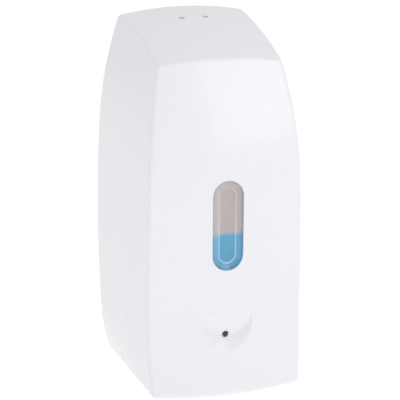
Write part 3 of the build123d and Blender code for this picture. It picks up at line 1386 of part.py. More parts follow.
def make_board_parts():
    """Chips, capacitors and connectors on the main board."""
    top = MAIN_BOARD_HEIGHT + BOARD_THICKNESS
    middle = -MAIN_BOARD_FROM_WALL - MAIN_BOARD_DEPTH / 2

    def seated(x, y, size):
        """A block of that width, depth and height on the board, off its middle by x and y."""
        width, depth, height = size
        y += middle
        return block((x - width / 2, x + width / 2), (y - depth / 2, y + depth / 2), (top, top + height))

    parts = [seated(CHIP_OFFSET, 0, CONTROLLER), seated(DRIVER_OFFSET, -CAPACITOR_PITCH / 2, DRIVER)]
    for side in (-1, 1):
        parts.append(seated(side * CONNECTOR_OFFSET, MAIN_BOARD_DEPTH / 5, CONNECTOR))
        parts.append(seated(side * RESISTOR_OFFSET, -MAIN_BOARD_DEPTH / 4, RESISTOR))
    row = middle + MAIN_BOARD_DEPTH / 4
    for x in (0, CAPACITOR_PITCH):
        parts.append(rod(CAPACITOR_RADIUS, (x, row, top), (x, row, top + CAPACITOR_HEIGHT)))
    return parts


def make_board_screws():
    """Pan head screws of the main board and the control board."""
    top = MAIN_BOARD_HEIGHT + BOARD_THICKNESS
    back = control_board_y() + BOARD_THICKNESS
    seats = [((x, y, top), (0, 0, 1), BOARD_SCREW_BITE) for x, y in board_screw_places()]
    seats += [((x, back, z), (0, 1, 0), CONTROL_SCREW_BITE) for x, z in control_screw_places()]
    grip = BOARD_THICKNESS - SCREW_SLACK
    return [
        screw(seat, way, BOARD_SCREW_RADIUS, bite + grip, PAN_HEAD_RADIUS, PAN_HEAD_HEIGHT)
        for seat, way, bite in seats
    ]


def control_board_y():
    """Y of the control board's front."""
    return CONTROL_Y + HOUSING_WALL + CONTROL_BOARD_BACK


def control_screw_places():
    """X and height of the control board's screws."""
    return [(side * (CONTROL_HALF_WIDTH + 3.0), BUTTON_HEIGHT) for side in (-1, 1)]


def make_control_board():
    """The upright board behind the control face."""
    y = control_board_y()
    half = CONTROL_HALF_WIDTH + 7.0
    board = block((-half, half), (y, y + BOARD_THICKNESS), (CONTROL_FOOT + 2.0, HOUSING_TOP - DECK_RIM - 1.0))
    board += block((-8, 8), (y, y + BOARD_THICKNESS), (INDICATOR_HEIGHT - 4.0, CONTROL_FOOT + 2.0))
    for x, z in control_screw_places():
        board -= rod(BOARD_SCREW_RADIUS + SCREW_SLACK, (x, y - 1, z), (x, y + 3, z))
    socket = SPOUT_RADIUS + SPOUT_GAP + HOUSING_WALL
    return board - rod(socket + 3 * FIT_GAP, on_line(0), on_line(HOUSING_TOP))


def led_tip():
    """Y of the indicator LED's tip, inside the swing of the cover's scoop."""
    rise = INDICATOR_HEIGHT - HINGE_HEIGHT
    return HINGE_Y - sqrt(swing_radius() ** 2 - rise**2) + 0.3


def make_indicator_led():
    """The domed light behind the light pipe, on its holder."""
    back = control_board_y()
    tip = led_tip()
    foot = (0, tip + LED_LENGTH, INDICATOR_HEIGHT)
    dome = rod(LED_RADIUS, foot, (0, tip, INDICATOR_HEIGHT))
    dome = fillet(dome.faces().sort_by(Axis.Y)[0].edges(), 0.8 * LED_RADIUS)
    lamp = dome + rod(LED_FLANGE, foot, (0, tip + LED_LENGTH - 1.0, INDICATOR_HEIGHT))
    if back <= tip + LED_LENGTH:
        return lamp
    return lamp + rod(LED_HOLDER, foot, (0, back, INDICATOR_HEIGHT))


def make_dose_button():
    """The round test button on the control face."""
    x, z = -BUTTON_OFFSET, BUTTON_HEIGHT
    inner = CONTROL_Y + HOUSING_WALL
    cap = rod(BUTTON_RADIUS, (x, inner + 1.0, z), (x, CONTROL_Y - BUTTON_PROUD, z))
    cap = fillet(cap.faces().sort_by(Axis.Y)[0].edges(), 0.6)
    return cap + rod(BUTTON_RADIUS + 1.0, (x, inner + 0.1, z), (x, inner + 1.1, z))


def make_button_switch():
    """The small push switch behind the test button."""
    x, z = -BUTTON_OFFSET, BUTTON_HEIGHT
    front = CONTROL_Y + HOUSING_WALL + 1.1 + BUTTON_TRAVEL + 0.1
    back = control_board_y()
    body = block((x - 3, x + 3), (back - 1.4, back), (z - 3, z + 3))
    return body + rod(1.6, (x, back, z), (x, front, z))


def make_power_knob():
    """The sliding knob of the power switch."""
    z = BUTTON_HEIGHT
    inner = CONTROL_Y + HOUSING_WALL

    def layer(grow, y):
        """The knob's rectangle, larger by grow, between two Y."""
        half, rise = KNOB_WIDTH / 2 + grow, KNOB_HEIGHT / 2 + grow
        return block((BUTTON_OFFSET - half, BUTTON_OFFSET + half), y, (z - rise, z + rise))

    knob = layer(0.0, (inner + 0.8, CONTROL_Y - BUTTON_PROUD))
    return knob + layer(KNOB_SKIRT, (inner + 0.1, inner + 0.9))


def make_power_switch():
    """The slide switch behind the knob."""
    z = BUTTON_HEIGHT
    back = control_board_y()
    middle = BUTTON_OFFSET + KNOB_TRAVEL / 2
    front = CONTROL_Y + HOUSING_WALL + 1.2
    return block((middle - 6, middle + 6), (front, back), (z - 3.2, z + 3.2))


def make_housing_screws():
    """Four screws that hold the housing to the back plate."""
    seat = -PLATE_THICKNESS - FIT_GAP / 2 - HOUSING_WALL
    length = -seat - SCREW_END_SKIN
    return [
        screw((x, seat, z), (0, -1, 0), HOUSING_SCREW_RADIUS, length, CASE_HEAD_RADIUS, CASE_HEAD_HEIGHT)
        for x, z in housing_screw_places()
    ]


def make_guide_screws():
    """Two screws that hold the latch guide to the back plate."""
    seat = -PLATE_THICKNESS - GUIDE_WALL
    return [
        screw((x, seat, z), (0, -1, 0), GUIDE_SCREW_RADIUS, GUIDE_WALL, CASE_HEAD_RADIUS, CASE_HEAD_HEIGHT)
        for x, z in guide_screw_places()
    ]


# ================================================================ writing
def write(name, shape):
    """Writes one piece, or a group of like pieces, about the middle of the wall screws."""
    pieces = shape if isinstance(shape, list) else [shape]
    down = Location((0, 0, -SCREW_HEIGHT))
    solids = [solid.moved(down) for piece in pieces for solid in piece.solids()]
    export_step(solids[0] if len(solids) == 1 else Compound(children=solids), f"parts/{name}.step")


def main():
    os.makedirs("parts", exist_ok=True)
    inlet_hose, outlet_hose = make_hoses()
    pieces = {
        "back_plate": make_back_plate(),
        "hinge_pins": make_hinge_pins(),
        "base_housing": make_base_housing(),
        "tank_deck": make_deck(),
        "front_cover": make_front_cover(),
        "window_lens": make_window_lens(),
        "indicator_lens": make_indicator_lens(),
        "cover_latch": make_cover_latch(),
        "latch_guide": make_latch_guide(),
        "latch_springs": make_latch_springs(),
        "guide_screws": make_guide_screws(),
        "housing_screws": make_housing_screws(),
        "tank_body": make_tank_body(),
        "tank_top": make_tank_top(),
        "soap": make_soap(),
        "spout_seal": make_spout_seal(),
        "tank_lid": make_tank_lid(),
        "lid_seal": make_lid_seal(),
        "lid_pin": make_lid_pin(),
        "pump_body": make_pump_body(),
        "pump_cover": make_pump_cover(),
        "pump_screws": make_pump_screws(),
        "drive_gear": make_drive_gear(),
        "idler_gear": make_idler_gear(),
        "idler_pin": make_idler_pin(),
        "motor_shaft": make_motor_shaft(),
        "motor_can": make_motor_can(),
        "motor_cap": make_motor_cap(),
        "inlet_hose": inlet_hose,
        "outlet_hose": outlet_hose,
        "nozzle": make_nozzle(),
        "drip_valve": make_drip_valve(),
        "sensor_window": make_sensor_window(),
        "sensor_board": make_sensor_board(),
        "sensor_eyes": make_sensor_eyes(),
        "battery_cells": make_cells(),
        "battery_contacts": make_contacts(),
        "battery_springs": make_cell_springs(),
        "battery_door": make_battery_door(),
        "main_board": make_main_board(),
        "board_parts": make_board_parts(),
        "board_screws": make_board_screws(),
        "control_board": make_control_board(),
        "indicator_led": make_indicator_led(),
        "dose_button": make_dose_button(),
        "button_switch": make_button_switch(),
        "power_knob": make_power_knob(),
        "power_switch": make_power_switch(),
    }
    for name, shape in pieces.items():
        write(name, shape)


main()
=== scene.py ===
"""The finished look of the wall mounted soap dispenser.

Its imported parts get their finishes, a few plain parts are replaced by detailed pieces, and the
whole is set on a pale studio stage.
"""

import json
from collections import defaultdict
from math import cos, pi, radians, sin

import bmesh
import bpy
from bpy.props import FloatProperty, FloatVectorProperty, IntProperty, PointerProperty
from mathutils import Matrix, Vector
from mathutils.bvhtree import BVHTree


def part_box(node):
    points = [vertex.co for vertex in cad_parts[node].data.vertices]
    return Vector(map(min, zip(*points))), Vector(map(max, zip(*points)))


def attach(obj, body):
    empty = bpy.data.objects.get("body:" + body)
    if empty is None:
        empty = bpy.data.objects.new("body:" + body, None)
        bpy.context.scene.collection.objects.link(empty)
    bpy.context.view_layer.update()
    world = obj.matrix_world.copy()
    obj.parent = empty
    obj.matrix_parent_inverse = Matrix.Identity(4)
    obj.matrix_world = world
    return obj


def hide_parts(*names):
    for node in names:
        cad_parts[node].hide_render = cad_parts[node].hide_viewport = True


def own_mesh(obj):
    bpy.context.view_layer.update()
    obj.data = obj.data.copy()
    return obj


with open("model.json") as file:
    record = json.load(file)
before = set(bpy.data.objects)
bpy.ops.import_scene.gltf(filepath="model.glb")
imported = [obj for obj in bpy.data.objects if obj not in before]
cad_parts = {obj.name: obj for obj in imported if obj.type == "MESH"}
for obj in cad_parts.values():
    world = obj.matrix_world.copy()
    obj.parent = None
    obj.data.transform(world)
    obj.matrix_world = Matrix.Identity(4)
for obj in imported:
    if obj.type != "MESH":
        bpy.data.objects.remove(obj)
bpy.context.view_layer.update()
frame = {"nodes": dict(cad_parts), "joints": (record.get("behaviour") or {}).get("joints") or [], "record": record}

bl_info = {
    "name": "Wall mounted soap dispenser",
    "version": (1, 0, 0),
    "blender": (4, 5, 0),
    "location": "3D View > Sidebar > Dispenser",
    "description": "Finishes, small fittings and studio stage of a touch-free soap dispenser",
    "category": "Object",
}

MM = 0.001
WELD = 0.0001 * MM
SHARP = radians(32)
FLAT_END = 0.05 * MM
LEVEL_STEPS = 10
SENSOR_WIDTH = 36.0
FLOOR_REACH = 20.0
LONG_STEP = 5
NOISE_ROUGHNESS = 0.55
NOISE_MIDDLE = (0.3, 0.7)
PLASTIC_IOR, CLEAR_IOR, SOAP_IOR, RUBBER_IOR = 1.5, 1.49, 1.36, 1.41
BLACK, WHITE = (0.0, 0.0, 0.0), (1.0, 1.0, 1.0)
NICKEL, TIN = (0.70, 0.69, 0.66), (0.72, 0.71, 0.69)
NAVY, CREAM = (0.03, 0.05, 0.16), (0.80, 0.78, 0.70)
PART_BLACK, PART_METAL, PART_SLEEVE, PART_SHELL = range(4)
CONNECTOR_HEIGHT = 3 * MM
RESISTOR_LENGTH = 3.5 * MM
SLOT_COLOURS = {row["slot"]: row["base_color"][:3] for row in frame["record"]["materials"]}


# ================================================================ settings
def colour_setting(label, about, colour):
    """A colour that the user can change."""
    return FloatVectorProperty(
        name=label, description=about, subtype="COLOR", size=3, min=0.0, max=1.0, default=colour)


def length_setting(label, about, size):
    """A length in metres that the user can change."""
    return FloatProperty(name=label, description=about, unit="LENGTH", precision=5, default=size)


def strength_setting(label, about, strength):
    """A strength of light that the user can change."""
    return FloatProperty(name=label, description=about, min=0.0, default=strength)


def power_setting(label, about, power):
    """A lamp's power that the user can change."""
    return FloatProperty(name=label, description=about, subtype="POWER", default=power)


def share_setting(label, about, share):
    """A share of another size that the user can change."""
    return FloatProperty(name=label, description=about, subtype="FACTOR", min=0.1, max=0.9, default=share)


def angle_setting(label, about, degrees):
    """An angle that the user can change."""
    return FloatProperty(name=label, description=about, subtype="ANGLE", default=radians(degrees))


class MouldedColours(bpy.types.PropertyGroup):
    """Colours of the moulded parts."""

    cover: colour_setting("Cover", "White outer cover", (0.836, 0.838, 0.874))
    frame: colour_setting("Frame", "Back plate, housing, deck and latch guide", SLOT_COLOURS["frame_white"])
    door: colour_setting("Door", "Battery door", SLOT_COLOURS["door_white"])
    lid: colour_setting("Lid", "Filler lid of the tank", SLOT_COLOURS["lid_grey"])
    latch: colour_setting("Latch", "Acetal latch of the cover", SLOT_COLOURS["latch_white"])
    pump: colour_setting("Pump", "Glass filled pump halves", SLOT_COLOURS["pump_grey"])
    gears: colour_setting("Gears", "Natural acetal pump gears", SLOT_COLOURS["gear_acetal"])
    nozzle: colour_setting("Nozzle", "Nozzle under the base", SLOT_COLOURS["nozzle_white"])
    controls: colour_setting("Controls", "Dose button and power knob", SLOT_COLOURS["button_grey"])
    rubber: colour_setting("Seals", "Rubber seals of the lid and the spout", (0.03, 0.03, 0.03))
    silicone: colour_setting("Silicone", "Hoses and drip valve", SLOT_COLOURS["valve_silicone"])


class ClearParts(bpy.types.PropertyGroup):
    """Tints of the parts that light passes through."""

    window: colour_setting("Window", "Tint of the capsule window and the light pipe", (0.97, 0.935, 0.93))
    tank: colour_setting("Tank", "Tank wall above the soap", (0.605, 0.57, 0.555))
    wetted: colour_setting("Wetted wall", "Tank wall with the soap behind it", (0.085, 0.48, 0.72))
    # Painted light: the tank wall gives off light in its own colour, so that it looks lit from within.
    painted_glow: strength_setting("Wall glow", "Light that the frosted wall scatters forward, over its colour", 0.28)
    soap: colour_setting("Soap", "Liquid soap", SLOT_COLOURS["soap_blue"])
    flange: length_setting("Window flange", "Hidden flange round the window", 3.0 * MM)
    border: length_setting("Window border", "Sloping border round the window's sunk middle", 5.7 * MM)
    # Strength of the painted highlight: light that the window gives off along its crease.
    painted_glint: strength_setting("Crease glint", "Light gathered along the crease of the window", 0.26)
    led: colour_setting("Lamp", "Tinted epoxy of the indicator lamp", SLOT_COLOURS["led_red"])
    meniscus: length_setting("Meniscus", "Height over which the wall turns from dry to wetted", 5.0 * MM)


class Fittings(bpy.types.PropertyGroup):
    """Sizes of the small pieces that stand for plain ones."""

    recess_share: share_setting("Cross recess", "Width of a screw's cross recess over its head's", 0.58)
    recess_depth: share_setting("Recess depth", "Depth of the recess over the head's height", 0.6)
    thread_pitch: length_setting("Thread pitch", "Distance between a screw's thread crests", 0.8 * MM)
    facets: IntProperty(name="Facets", description="Sides of a turned piece", min=12, max=96, default=40)
    spring_wire: length_setting("Spring wire", "Diameter of the latch springs' wire", 1.0 * MM)
    spring_turns: IntProperty(name="Spring turns", description="Turns of a latch spring", min=3, default=6)
    lead_width: length_setting("Lead width", "Width of a chip's leads", 0.5 * MM)
    sleeve: colour_setting("Cell sleeve", "Printed sleeve of the cells", SLOT_COLOURS["cell_wrap"])
    band: colour_setting("Cell band", "Band at the tip end of the cells", (0.72, 0.46, 0.12))
    board: colour_setting("Board", "Solder mask of the boards", SLOT_COLOURS["board_green"])
    rib_height: length_setting("Rib height", "Height of the moulded level and finger ribs", 0.8 * MM)
    rib_width: length_setting("Rib width", "Width of the moulded level and finger ribs", 1.0 * MM)
    rib_length: length_setting("Rib length", "Length of the tank's longer level ribs", 14.0 * MM)


class StageSettings(bpy.types.PropertyGroup):
    """Camera, lights and floor."""

    focal_length: FloatProperty(
        name="Focal length", description="Focal length of the camera", subtype="DISTANCE_CAMERA",
        default=153.0)
    target: FloatVectorProperty(
        name="Target", description="Point that the camera looks at", subtype="XYZ", unit="LENGTH",
        default=(0.00054, -0.050, -0.01857))
    distance: length_setting("Distance", "Camera to target", 1.3605)
    yaw: angle_setting("Yaw", "Turn of the camera about the upright", 18.918)
    pitch: angle_setting("Pitch", "Tilt of the camera downward", 16.051)
    roll: angle_setting("Roll", "Roll of the camera", 0.487)
    sky: strength_setting("Sky", "Strength of the even light all round", 0.76)
    key: power_setting("Key", "Power of the large front light", 12.0)
    strip: power_setting("Strip", "Power of the tall side light", 0.6)
    top: power_setting("Top", "Power of the overhead light", 3.5)
    floor_drop: length_setting("Floor drop", "Floor below the screws' centre", 1.6)
    floor_glow: strength_setting("Floor glow", "Light given off by the floor", 0.31)


class DispenserSettings(bpy.types.PropertyGroup):
    """Everything that the operators read."""

    moulded: PointerProperty(type=MouldedColours)
    clear: PointerProperty(type=ClearParts)
    fittings: PointerProperty(type=Fittings)
    stage: PointerProperty(type=StageSettings)


# ================================================================ finishes
class Finish:
    """A material's nodes, added in the order in which the finish is built up."""

    def __init__(self, name):
        self.material = bpy.data.materials.new(name)
        self.material.use_nodes = True
        self.tree = self.material.node_tree
        self.shader = self.tree.nodes["Principled BSDF"]
        self.place = self.add("ShaderNodeTexCoord").outputs["Object"]

    def feed(self, socket, value):
        """Links an output to a socket, or sets the socket to a constant."""
        if isinstance(value, bpy.types.NodeSocket):
            self.tree.links.new(value, socket)
        else:
            socket.default_value = value

    def add(self, kind, inputs=(), **settings):
        """A new node with its settings, and with outputs or constants on its inputs."""
        node = self.tree.nodes.new(kind)
        for name, value in settings.items():
            setattr(node, name, value)
        for socket, value in dict(inputs).items():
            self.feed(node.inputs[socket], value)
        return node

    def math(self, operation, first, second=0.0):
        """A sum worked out on two values."""
        return self.add("ShaderNodeMath", {0: first, 1: second}, operation=operation).outputs[0]

    def set(self, **values):
        """Constant values on the shader's own sockets."""
        for name, value in values.items():
            self.shader.inputs[name.replace("_", " ")].default_value = value

    def stretched(self, scale, turn=(0, 0, 0), place=None):
        """The place on the part, stretched and turned."""
        inputs = {"Vector": place or self.place, "Scale": scale, "Rotation": turn}
        return self.add("ShaderNodeMapping", inputs).outputs["Vector"]

    def noise(self, scale, detail=3.0, place=None):
        """Cloudy noise with so many lumps in a metre."""
        inputs = {"Vector": place or self.place, "Scale": scale, "Detail": detail,
                  "Roughness": NOISE_ROUGHNESS}
        return self.add("ShaderNodeTexNoise", inputs).outputs["Fac"]

    def cells(self, scale):
        """Distance to scattered points, so many in a metre."""
        return self.add("ShaderNodeTexVoronoi", {"Vector": self.place, "Scale": scale}).outputs["Distance"]

    def remap(self, value, source, target, smooth=False):
        """A value carried from one range to another."""
        inputs = {"Value": value, "From Min": source[0], "From Max": source[1], "To Min": target[0],
                  "To Max": target[1]}
        kind = "SMOOTHSTEP" if smooth else "LINEAR"
        return self.add("ShaderNodeMapRange", inputs, interpolation_type=kind).outputs["Result"]

    def spread(self, value):
        """The middle of a noise's range, carried to 0 to 1."""
        return self.remap(value, NOISE_MIDDLE, (0, 1))

    def along(self, axis):
        """The place on the part along X, Y or Z."""
        return self.add("ShaderNodeSeparateXYZ", {"Vector": self.place}).outputs[axis]

    def blend(self, factor, first, second):
        """A colour between two colours or colour outputs."""
        node = self.add("ShaderNodeMix", {"Factor": factor}, data_type="RGBA")
        sockets = [socket for socket in node.inputs if socket.type == "RGBA"]
        for socket, colour in zip(sockets, (first, second)):
            self.feed(socket, colour if isinstance(colour, bpy.types.NodeSocket) else (*colour, 1.0))
        return next(socket for socket in node.outputs if socket.type == "RGBA")

    def colour(self, source):
        """Sends a colour to the shader."""
        self.feed(self.shader.inputs["Base Color"], source)

    def light(self, source, strength):
        """Sends a colour to the shader as light that the part gives off."""
        self.feed(self.shader.inputs["Emission Color"], source)
        self.set(Emission_Strength=strength)

    def roughness(self, value, low, high):
        """Roughness that follows a noise."""
        self.feed(self.shader.inputs["Roughness"], self.remap(value, NOISE_MIDDLE, (low, high)))

    def relief(self, *layers):
        """Bump from pairs of a height and its depth in metres."""
        below = {}
        for height, depth in layers:
            inputs = {"Height": height, "Distance": depth, "Strength": 1.0, **below}
            below = {"Normal": self.add("ShaderNodeBump", inputs).outputs["Normal"]}
        self.feed(self.shader.inputs["Normal"], below["Normal"])


def shade(colour, amount):
    """A colour made lighter or darker."""
    return tuple(min(1.0, channel * amount) for channel in colour)


def moulded_plastic(name, colour, roughness, grain=2600, depth=0.012 * MM, tone=0.012):
    """Injection moulded plastic: faint flow tone, uneven gloss and a fine spark grain."""
    finish = Finish(name)
    flow = finish.noise(14, 3, finish.stretched((1, 1, 0.4)))
    cloud = finish.noise(60, 4)
    body = finish.blend(finish.spread(flow), shade(colour, 1 - tone), shade(colour, 1 + tone))
    dust = finish.remap(finish.noise(420, 6), (0.62, 0.8), (0, 0.05))
    finish.colour(finish.blend(dust, body, shade(colour, 0.93)))
    finish.roughness(cloud, roughness * 0.9, roughness * 1.1)
    finish.relief((flow, 0.02 * MM), (finish.noise(grain, 2), depth))
    finish.set(IOR=PLASTIC_IOR)
    return finish


def gloss_cover(colour):
    """Satin gloss white of the cover, with slow surface waviness and fine polishing haze."""
    finish = Finish("cover_satin_gloss")
    flow = finish.noise(9, 2, finish.stretched((1, 1, 0.4)))
    haze = finish.noise(16, 2)
    body = finish.blend(finish.spread(flow), shade(colour, 0.994), shade(colour, 1.004))
    finish.colour(finish.blend(finish.remap(haze, (0.4, 0.8), (0, 0.05)), body, shade(colour, 0.96)))
    finish.roughness(haze, 0.25, 0.29)
    finish.relief((flow, 0.03 * MM), (finish.noise(1500, 2), 0.0006 * MM))
    finish.set(Coat_Weight=0.25, Coat_Roughness=0.12, IOR=PLASTIC_IOR)
    return finish


def polished_clear(name, tint, roughness=0.02):
    """Clear polished plastic with a trace of moulding haze and fine wiping scratches."""
    finish = Finish(name)
    haze = finish.noise(35, 3)
    scratches = finish.noise(300, 4, finish.stretched((1, 1, 14), (0, radians(20), 0)))
    finish.colour(finish.blend(haze, shade(tint, 0.98), tint))
    finish.roughness(scratches, roughness, roughness * 2)
    finish.relief((haze, 0.01 * MM))
    finish.set(Transmission_Weight=1.0, IOR=CLEAR_IOR)
    return finish


def window_clear(tint, low, high, border, painted_glint):
    """The window's clear plastic, with painted light: a painted highlight given off along the crease round its
    sunk middle, a painted sheen on its sloping border and a painted darker rim at its edge.
    """
    finish = polished_clear("window_clear_painted_highlights", tint)
    half = (high.x - low.x) / 2
    straight = (high.z - low.z) / 2 - half
    climb = finish.math("ABSOLUTE", finish.math("SUBTRACT", finish.along("Z"), (high.z + low.z) / 2))
    beyond = finish.math("MAXIMUM", finish.math("SUBTRACT", climb, straight))
    spot = finish.add("ShaderNodeCombineXYZ", {"X": finish.along("X"), "Y": beyond}).outputs[0]
    radius = finish.add("ShaderNodeVectorMath", {0: spot}, operation="LENGTH").outputs["Value"]
    crease = half - border
    distance = finish.math("ABSOLUTE", finish.math("SUBTRACT", radius, crease))
    # Painted highlight: a thin line along the crease that gives off light.
    painted_line_mask = finish.remap(distance, (0.10 * MM, 0.42 * MM), (1, 0), smooth=True)
    # Painted sheen: the sloping border just outside the crease gives off a faint blue light.
    painted_slope_mask = finish.remap(radius, (crease, crease + 0.5 * MM), (0.0, 0.12), smooth=True)
    # The painted highlight is strongest at the bottom of the window and falls to a quarter at the top.
    gathered = finish.remap(finish.along("Z"), (low.z, high.z), (1.0, 0.25))
    painted_slope_sheen = finish.blend(painted_slope_mask, BLACK, (0.7, 0.9, 1.0))
    painted_crease_highlight = finish.blend(gathered, BLACK, (0.95, 1.0, 1.0))
    # Painted highlight and sheen: the crease line and the sloping border give off light.
    finish.light(finish.blend(painted_line_mask, painted_slope_sheen, painted_crease_highlight), painted_glint)
    # Painted shade: the window's colour darkens in a thin ring at its outer edge.
    rim = finish.remap(radius, (half - 1.1 * MM, half - 0.3 * MM), (0.0, 1.0), smooth=True)
    finish.colour(finish.blend(rim, tint, shade(tint, 0.62)))
    return finish


def translucent_tank(dry, wetted, painted_glow, level, meniscus):
    """Frosted tank wall, blue where the soap wets it, with moulding flow, a frosted grain and a painted glow: the
    wall gives off light in its own colour.
    """
    finish = Finish("tank_frosted_wall_painted_glow")
    flow = finish.noise(22, 4, finish.stretched((1, 1, 0.3)))
    sway = finish.remap(finish.noise(30, 1), NOISE_MIDDLE, (-0.08 * meniscus, 0.08 * meniscus))
    height = finish.math("ADD", finish.along("Z"), sway)
    foot = level - 0.15 * meniscus
    above = finish.remap(height, (foot, foot + meniscus), (0, 1), smooth=True)
    depth = finish.remap(finish.along("Z"), (level - 45 * MM, level), (0, 1))
    wet = finish.blend(depth, shade(wetted, 0.86), wetted)
    air = finish.blend(finish.spread(flow), shade(dry, 0.96), shade(dry, 1.03))
    wall = finish.blend(above, wet, air)
    finish.colour(wall)
    # Painted glow: the wall gives off its own colour as light.
    finish.light(wall, painted_glow)
    finish.roughness(finish.noise(140, 4), 0.28, 0.38)
    finish.relief((flow, 0.03 * MM), (finish.noise(1500, 2), 0.006 * MM))
    finish.set(Transmission_Weight=0.25, IOR=CLEAR_IOR)
    return finish


def tinted_liquid(colour):
    """Clear blue soap with slow swirls and a few specks of air."""
    finish = Finish("soap_tinted_liquid")
    swirl = finish.noise(25, 5, finish.stretched((1, 1, 2.5)))
    air = finish.remap(finish.cells(260), (0.0, 0.10), (1, 0))
    liquid = finish.blend(swirl, shade(colour, 0.85), shade(colour, 1.1))
    finish.colour(finish.blend(air, liquid, shade(colour, 1.5)))
    finish.roughness(swirl, 0.05, 0.10)
    finish.relief((swirl, 0.15 * MM))
    finish.set(Transmission_Weight=0.45, IOR=SOAP_IOR)
    return finish


def ground_metal(name, colour, roughness, grain=(1, 1, 1), depth=0.004 * MM, stain=0.06):
    """Metal with drawing or turning lines along the axis that the grain is long in."""
    finish = Finish(name)
    lines = finish.noise(1400, 3, finish.stretched(grain))
    tone = finish.remap(finish.noise(130, 4), (0.35, 0.7), (0, 1))
    finish.colour(finish.blend(tone, shade(colour, 1 - stain), shade(colour, 1 + stain)))
    finish.roughness(lines, roughness * 0.75, roughness * 1.25)
    finish.relief((lines, depth))
    finish.set(Metallic=1.0)
    return finish


def zinc_plate(colour):
    """Bright zinc plating with its faint blue and straw patches."""
    finish = Finish("screw_zinc_plate")
    bloom = finish.remap(finish.noise(500, 4), (0.35, 0.65), (0, 1))
    patches = finish.blend(bloom, (0.60, 0.63, 0.69), (0.74, 0.72, 0.66))
    grains = finish.remap(finish.cells(1500), (0.0, 0.5), (0, 0.4))
    finish.colour(finish.blend(grains, patches, colour))
    finish.roughness(finish.noise(1800, 3), 0.22, 0.36)
    finish.relief((finish.noise(2600, 2), 0.006 * MM))
    finish.set(Metallic=1.0)
    return finish


def soft_rubber(name, colour, roughness, sheen, through=0.0):
    """Rubber or silicone: bloom in patches, a dull grain and, for silicone, light let through."""
    finish = Finish(name)
    bloom = finish.remap(finish.noise(160, 5), (0.35, 0.75), (0, 1))
    finish.colour(finish.blend(bloom, colour, shade(colour, 1.18)))
    finish.roughness(finish.noise(700, 3), roughness * 0.9, roughness * 1.1)
    finish.relief((finish.noise(3000, 2), 0.012 * MM))
    finish.set(Sheen_Weight=sheen, Transmission_Weight=through, IOR=RUBBER_IOR)
    return finish


def solder_mask(colour):
    """Green board: copper runs showing through the mask, pads and a glass weave."""
    finish = Finish("board_solder_mask")
    across = finish.math("ADD", finish.along("Y"), finish.along("Z"))
    spot = finish.add("ShaderNodeCombineXYZ", {"X": finish.along("X"), "Y": across}).outputs[0]
    slanted = finish.stretched((1, 1, 1), (0, 0, radians(45)), spot)
    inputs = {"Vector": slanted, "Scale": 130.0, "Mortar Size": 0.03, "Color1": (*BLACK, 1.0),
              "Color2": (*BLACK, 1.0), "Mortar": (*WHITE, 1.0)}
    runs = finish.add("ShaderNodeTexBrick", inputs).outputs["Color"]
    copper = finish.remap(runs, (0, 1), (0, 0.6))
    pads = finish.remap(finish.cells(210), (0.10, 0.14), (1, 0))
    weave = finish.noise(900, 2)
    mask = finish.blend(weave, shade(colour, 0.8), shade(colour, 1.2))
    tracks = finish.blend(copper, mask, (0.14, 0.42, 0.18))
    finish.colour(finish.blend(pads, tracks, (0.72, 0.62, 0.38)))
    finish.roughness(weave, 0.30, 0.42)
    finish.relief((copper, 0.03 * MM), (weave, 0.01 * MM))
    finish.set(Coat_Weight=0.3)
    return finish


def cell_sleeve(sleeve, band, reach):
    """Shrink sleeve of a cell, with a band at its tip end and fine shrink creases."""
    finish = Finish("cell_shrink_sleeve")
    outward = finish.math("ABSOLUTE", finish.along("X"))
    banded = finish.remap(outward, (reach * 0.72, reach * 0.73), (0, 1))
    creases = finish.noise(700, 3, finish.stretched((0.2, 1, 1)))
    wrap = finish.blend(creases, shade(sleeve, 0.85), shade(sleeve, 1.15))
    finish.colour(finish.blend(banded, wrap, band))
    finish.roughness(creases, 0.22, 0.34)
    finish.relief((creases, 0.015 * MM))
    finish.set(Coat_Weight=0.4)
    return finish


def smoked_glass(colour):
    """Infra-red tinted window: nearly black and polished."""
    finish = Finish("sensor_smoked_window")
    haze = finish.noise(160, 4)
    finish.colour(finish.blend(haze, shade(colour, 0.7), shade(colour, 1.6)))
    finish.roughness(haze, 0.05, 0.10)
    finish.relief((haze, 0.01 * MM))
    finish.set(Transmission_Weight=0.2, IOR=PLASTIC_IOR, Coat_Weight=0.5)
    return finish


def tinted_epoxy(colour):
    """The indicator lamp's clear tinted epoxy."""
    finish = Finish("indicator_lamp_epoxy")
    cloud = finish.noise(600, 3)
    finish.colour(finish.blend(cloud, shade(colour, 0.8), shade(colour, 1.2)))
    finish.roughness(cloud, 0.08, 0.16)
    finish.relief((cloud, 0.01 * MM))
    finish.set(Transmission_Weight=0.4, IOR=PLASTIC_IOR)
    return finish


def dress(finish, *nodes):
    """Gives CAD nodes their finish."""
    for node in nodes:
        for slot in frame["nodes"][node].material_slots:
            slot.material = finish.material


# ================================================================ pieces
def solids_of(node):
    """The points of each separate solid in a CAD node."""
    mesh = frame["nodes"][node].data
    keys = [tuple(round(value, 6) for value in vertex.co) for vertex in mesh.vertices]
    home = {key: key for key in keys}

    def root(key):
        """The point that stands for this point's solid."""
        while home[key] != key:
            home[key] = home[home[key]]
            key = home[key]
        return key

    for polygon in mesh.polygons:
        first = root(keys[polygon.vertices[0]])
        for index in polygon.vertices[1:]:
            home[root(keys[index])] = first
    groups = defaultdict(list)
    for key in sorted(home):
        groups[root(key)].append(Vector(key))
    if not groups:
        raise RuntimeError(f"{node} has no mesh")
    return [groups[key] for key in sorted(groups)]


def corners(points):
    """Lowest and highest corner of some points."""
    low = Vector(min(point[axis] for point in points) for axis in range(3))
    high = Vector(max(point[axis] for point in points) for axis in range(3))
    return low, high


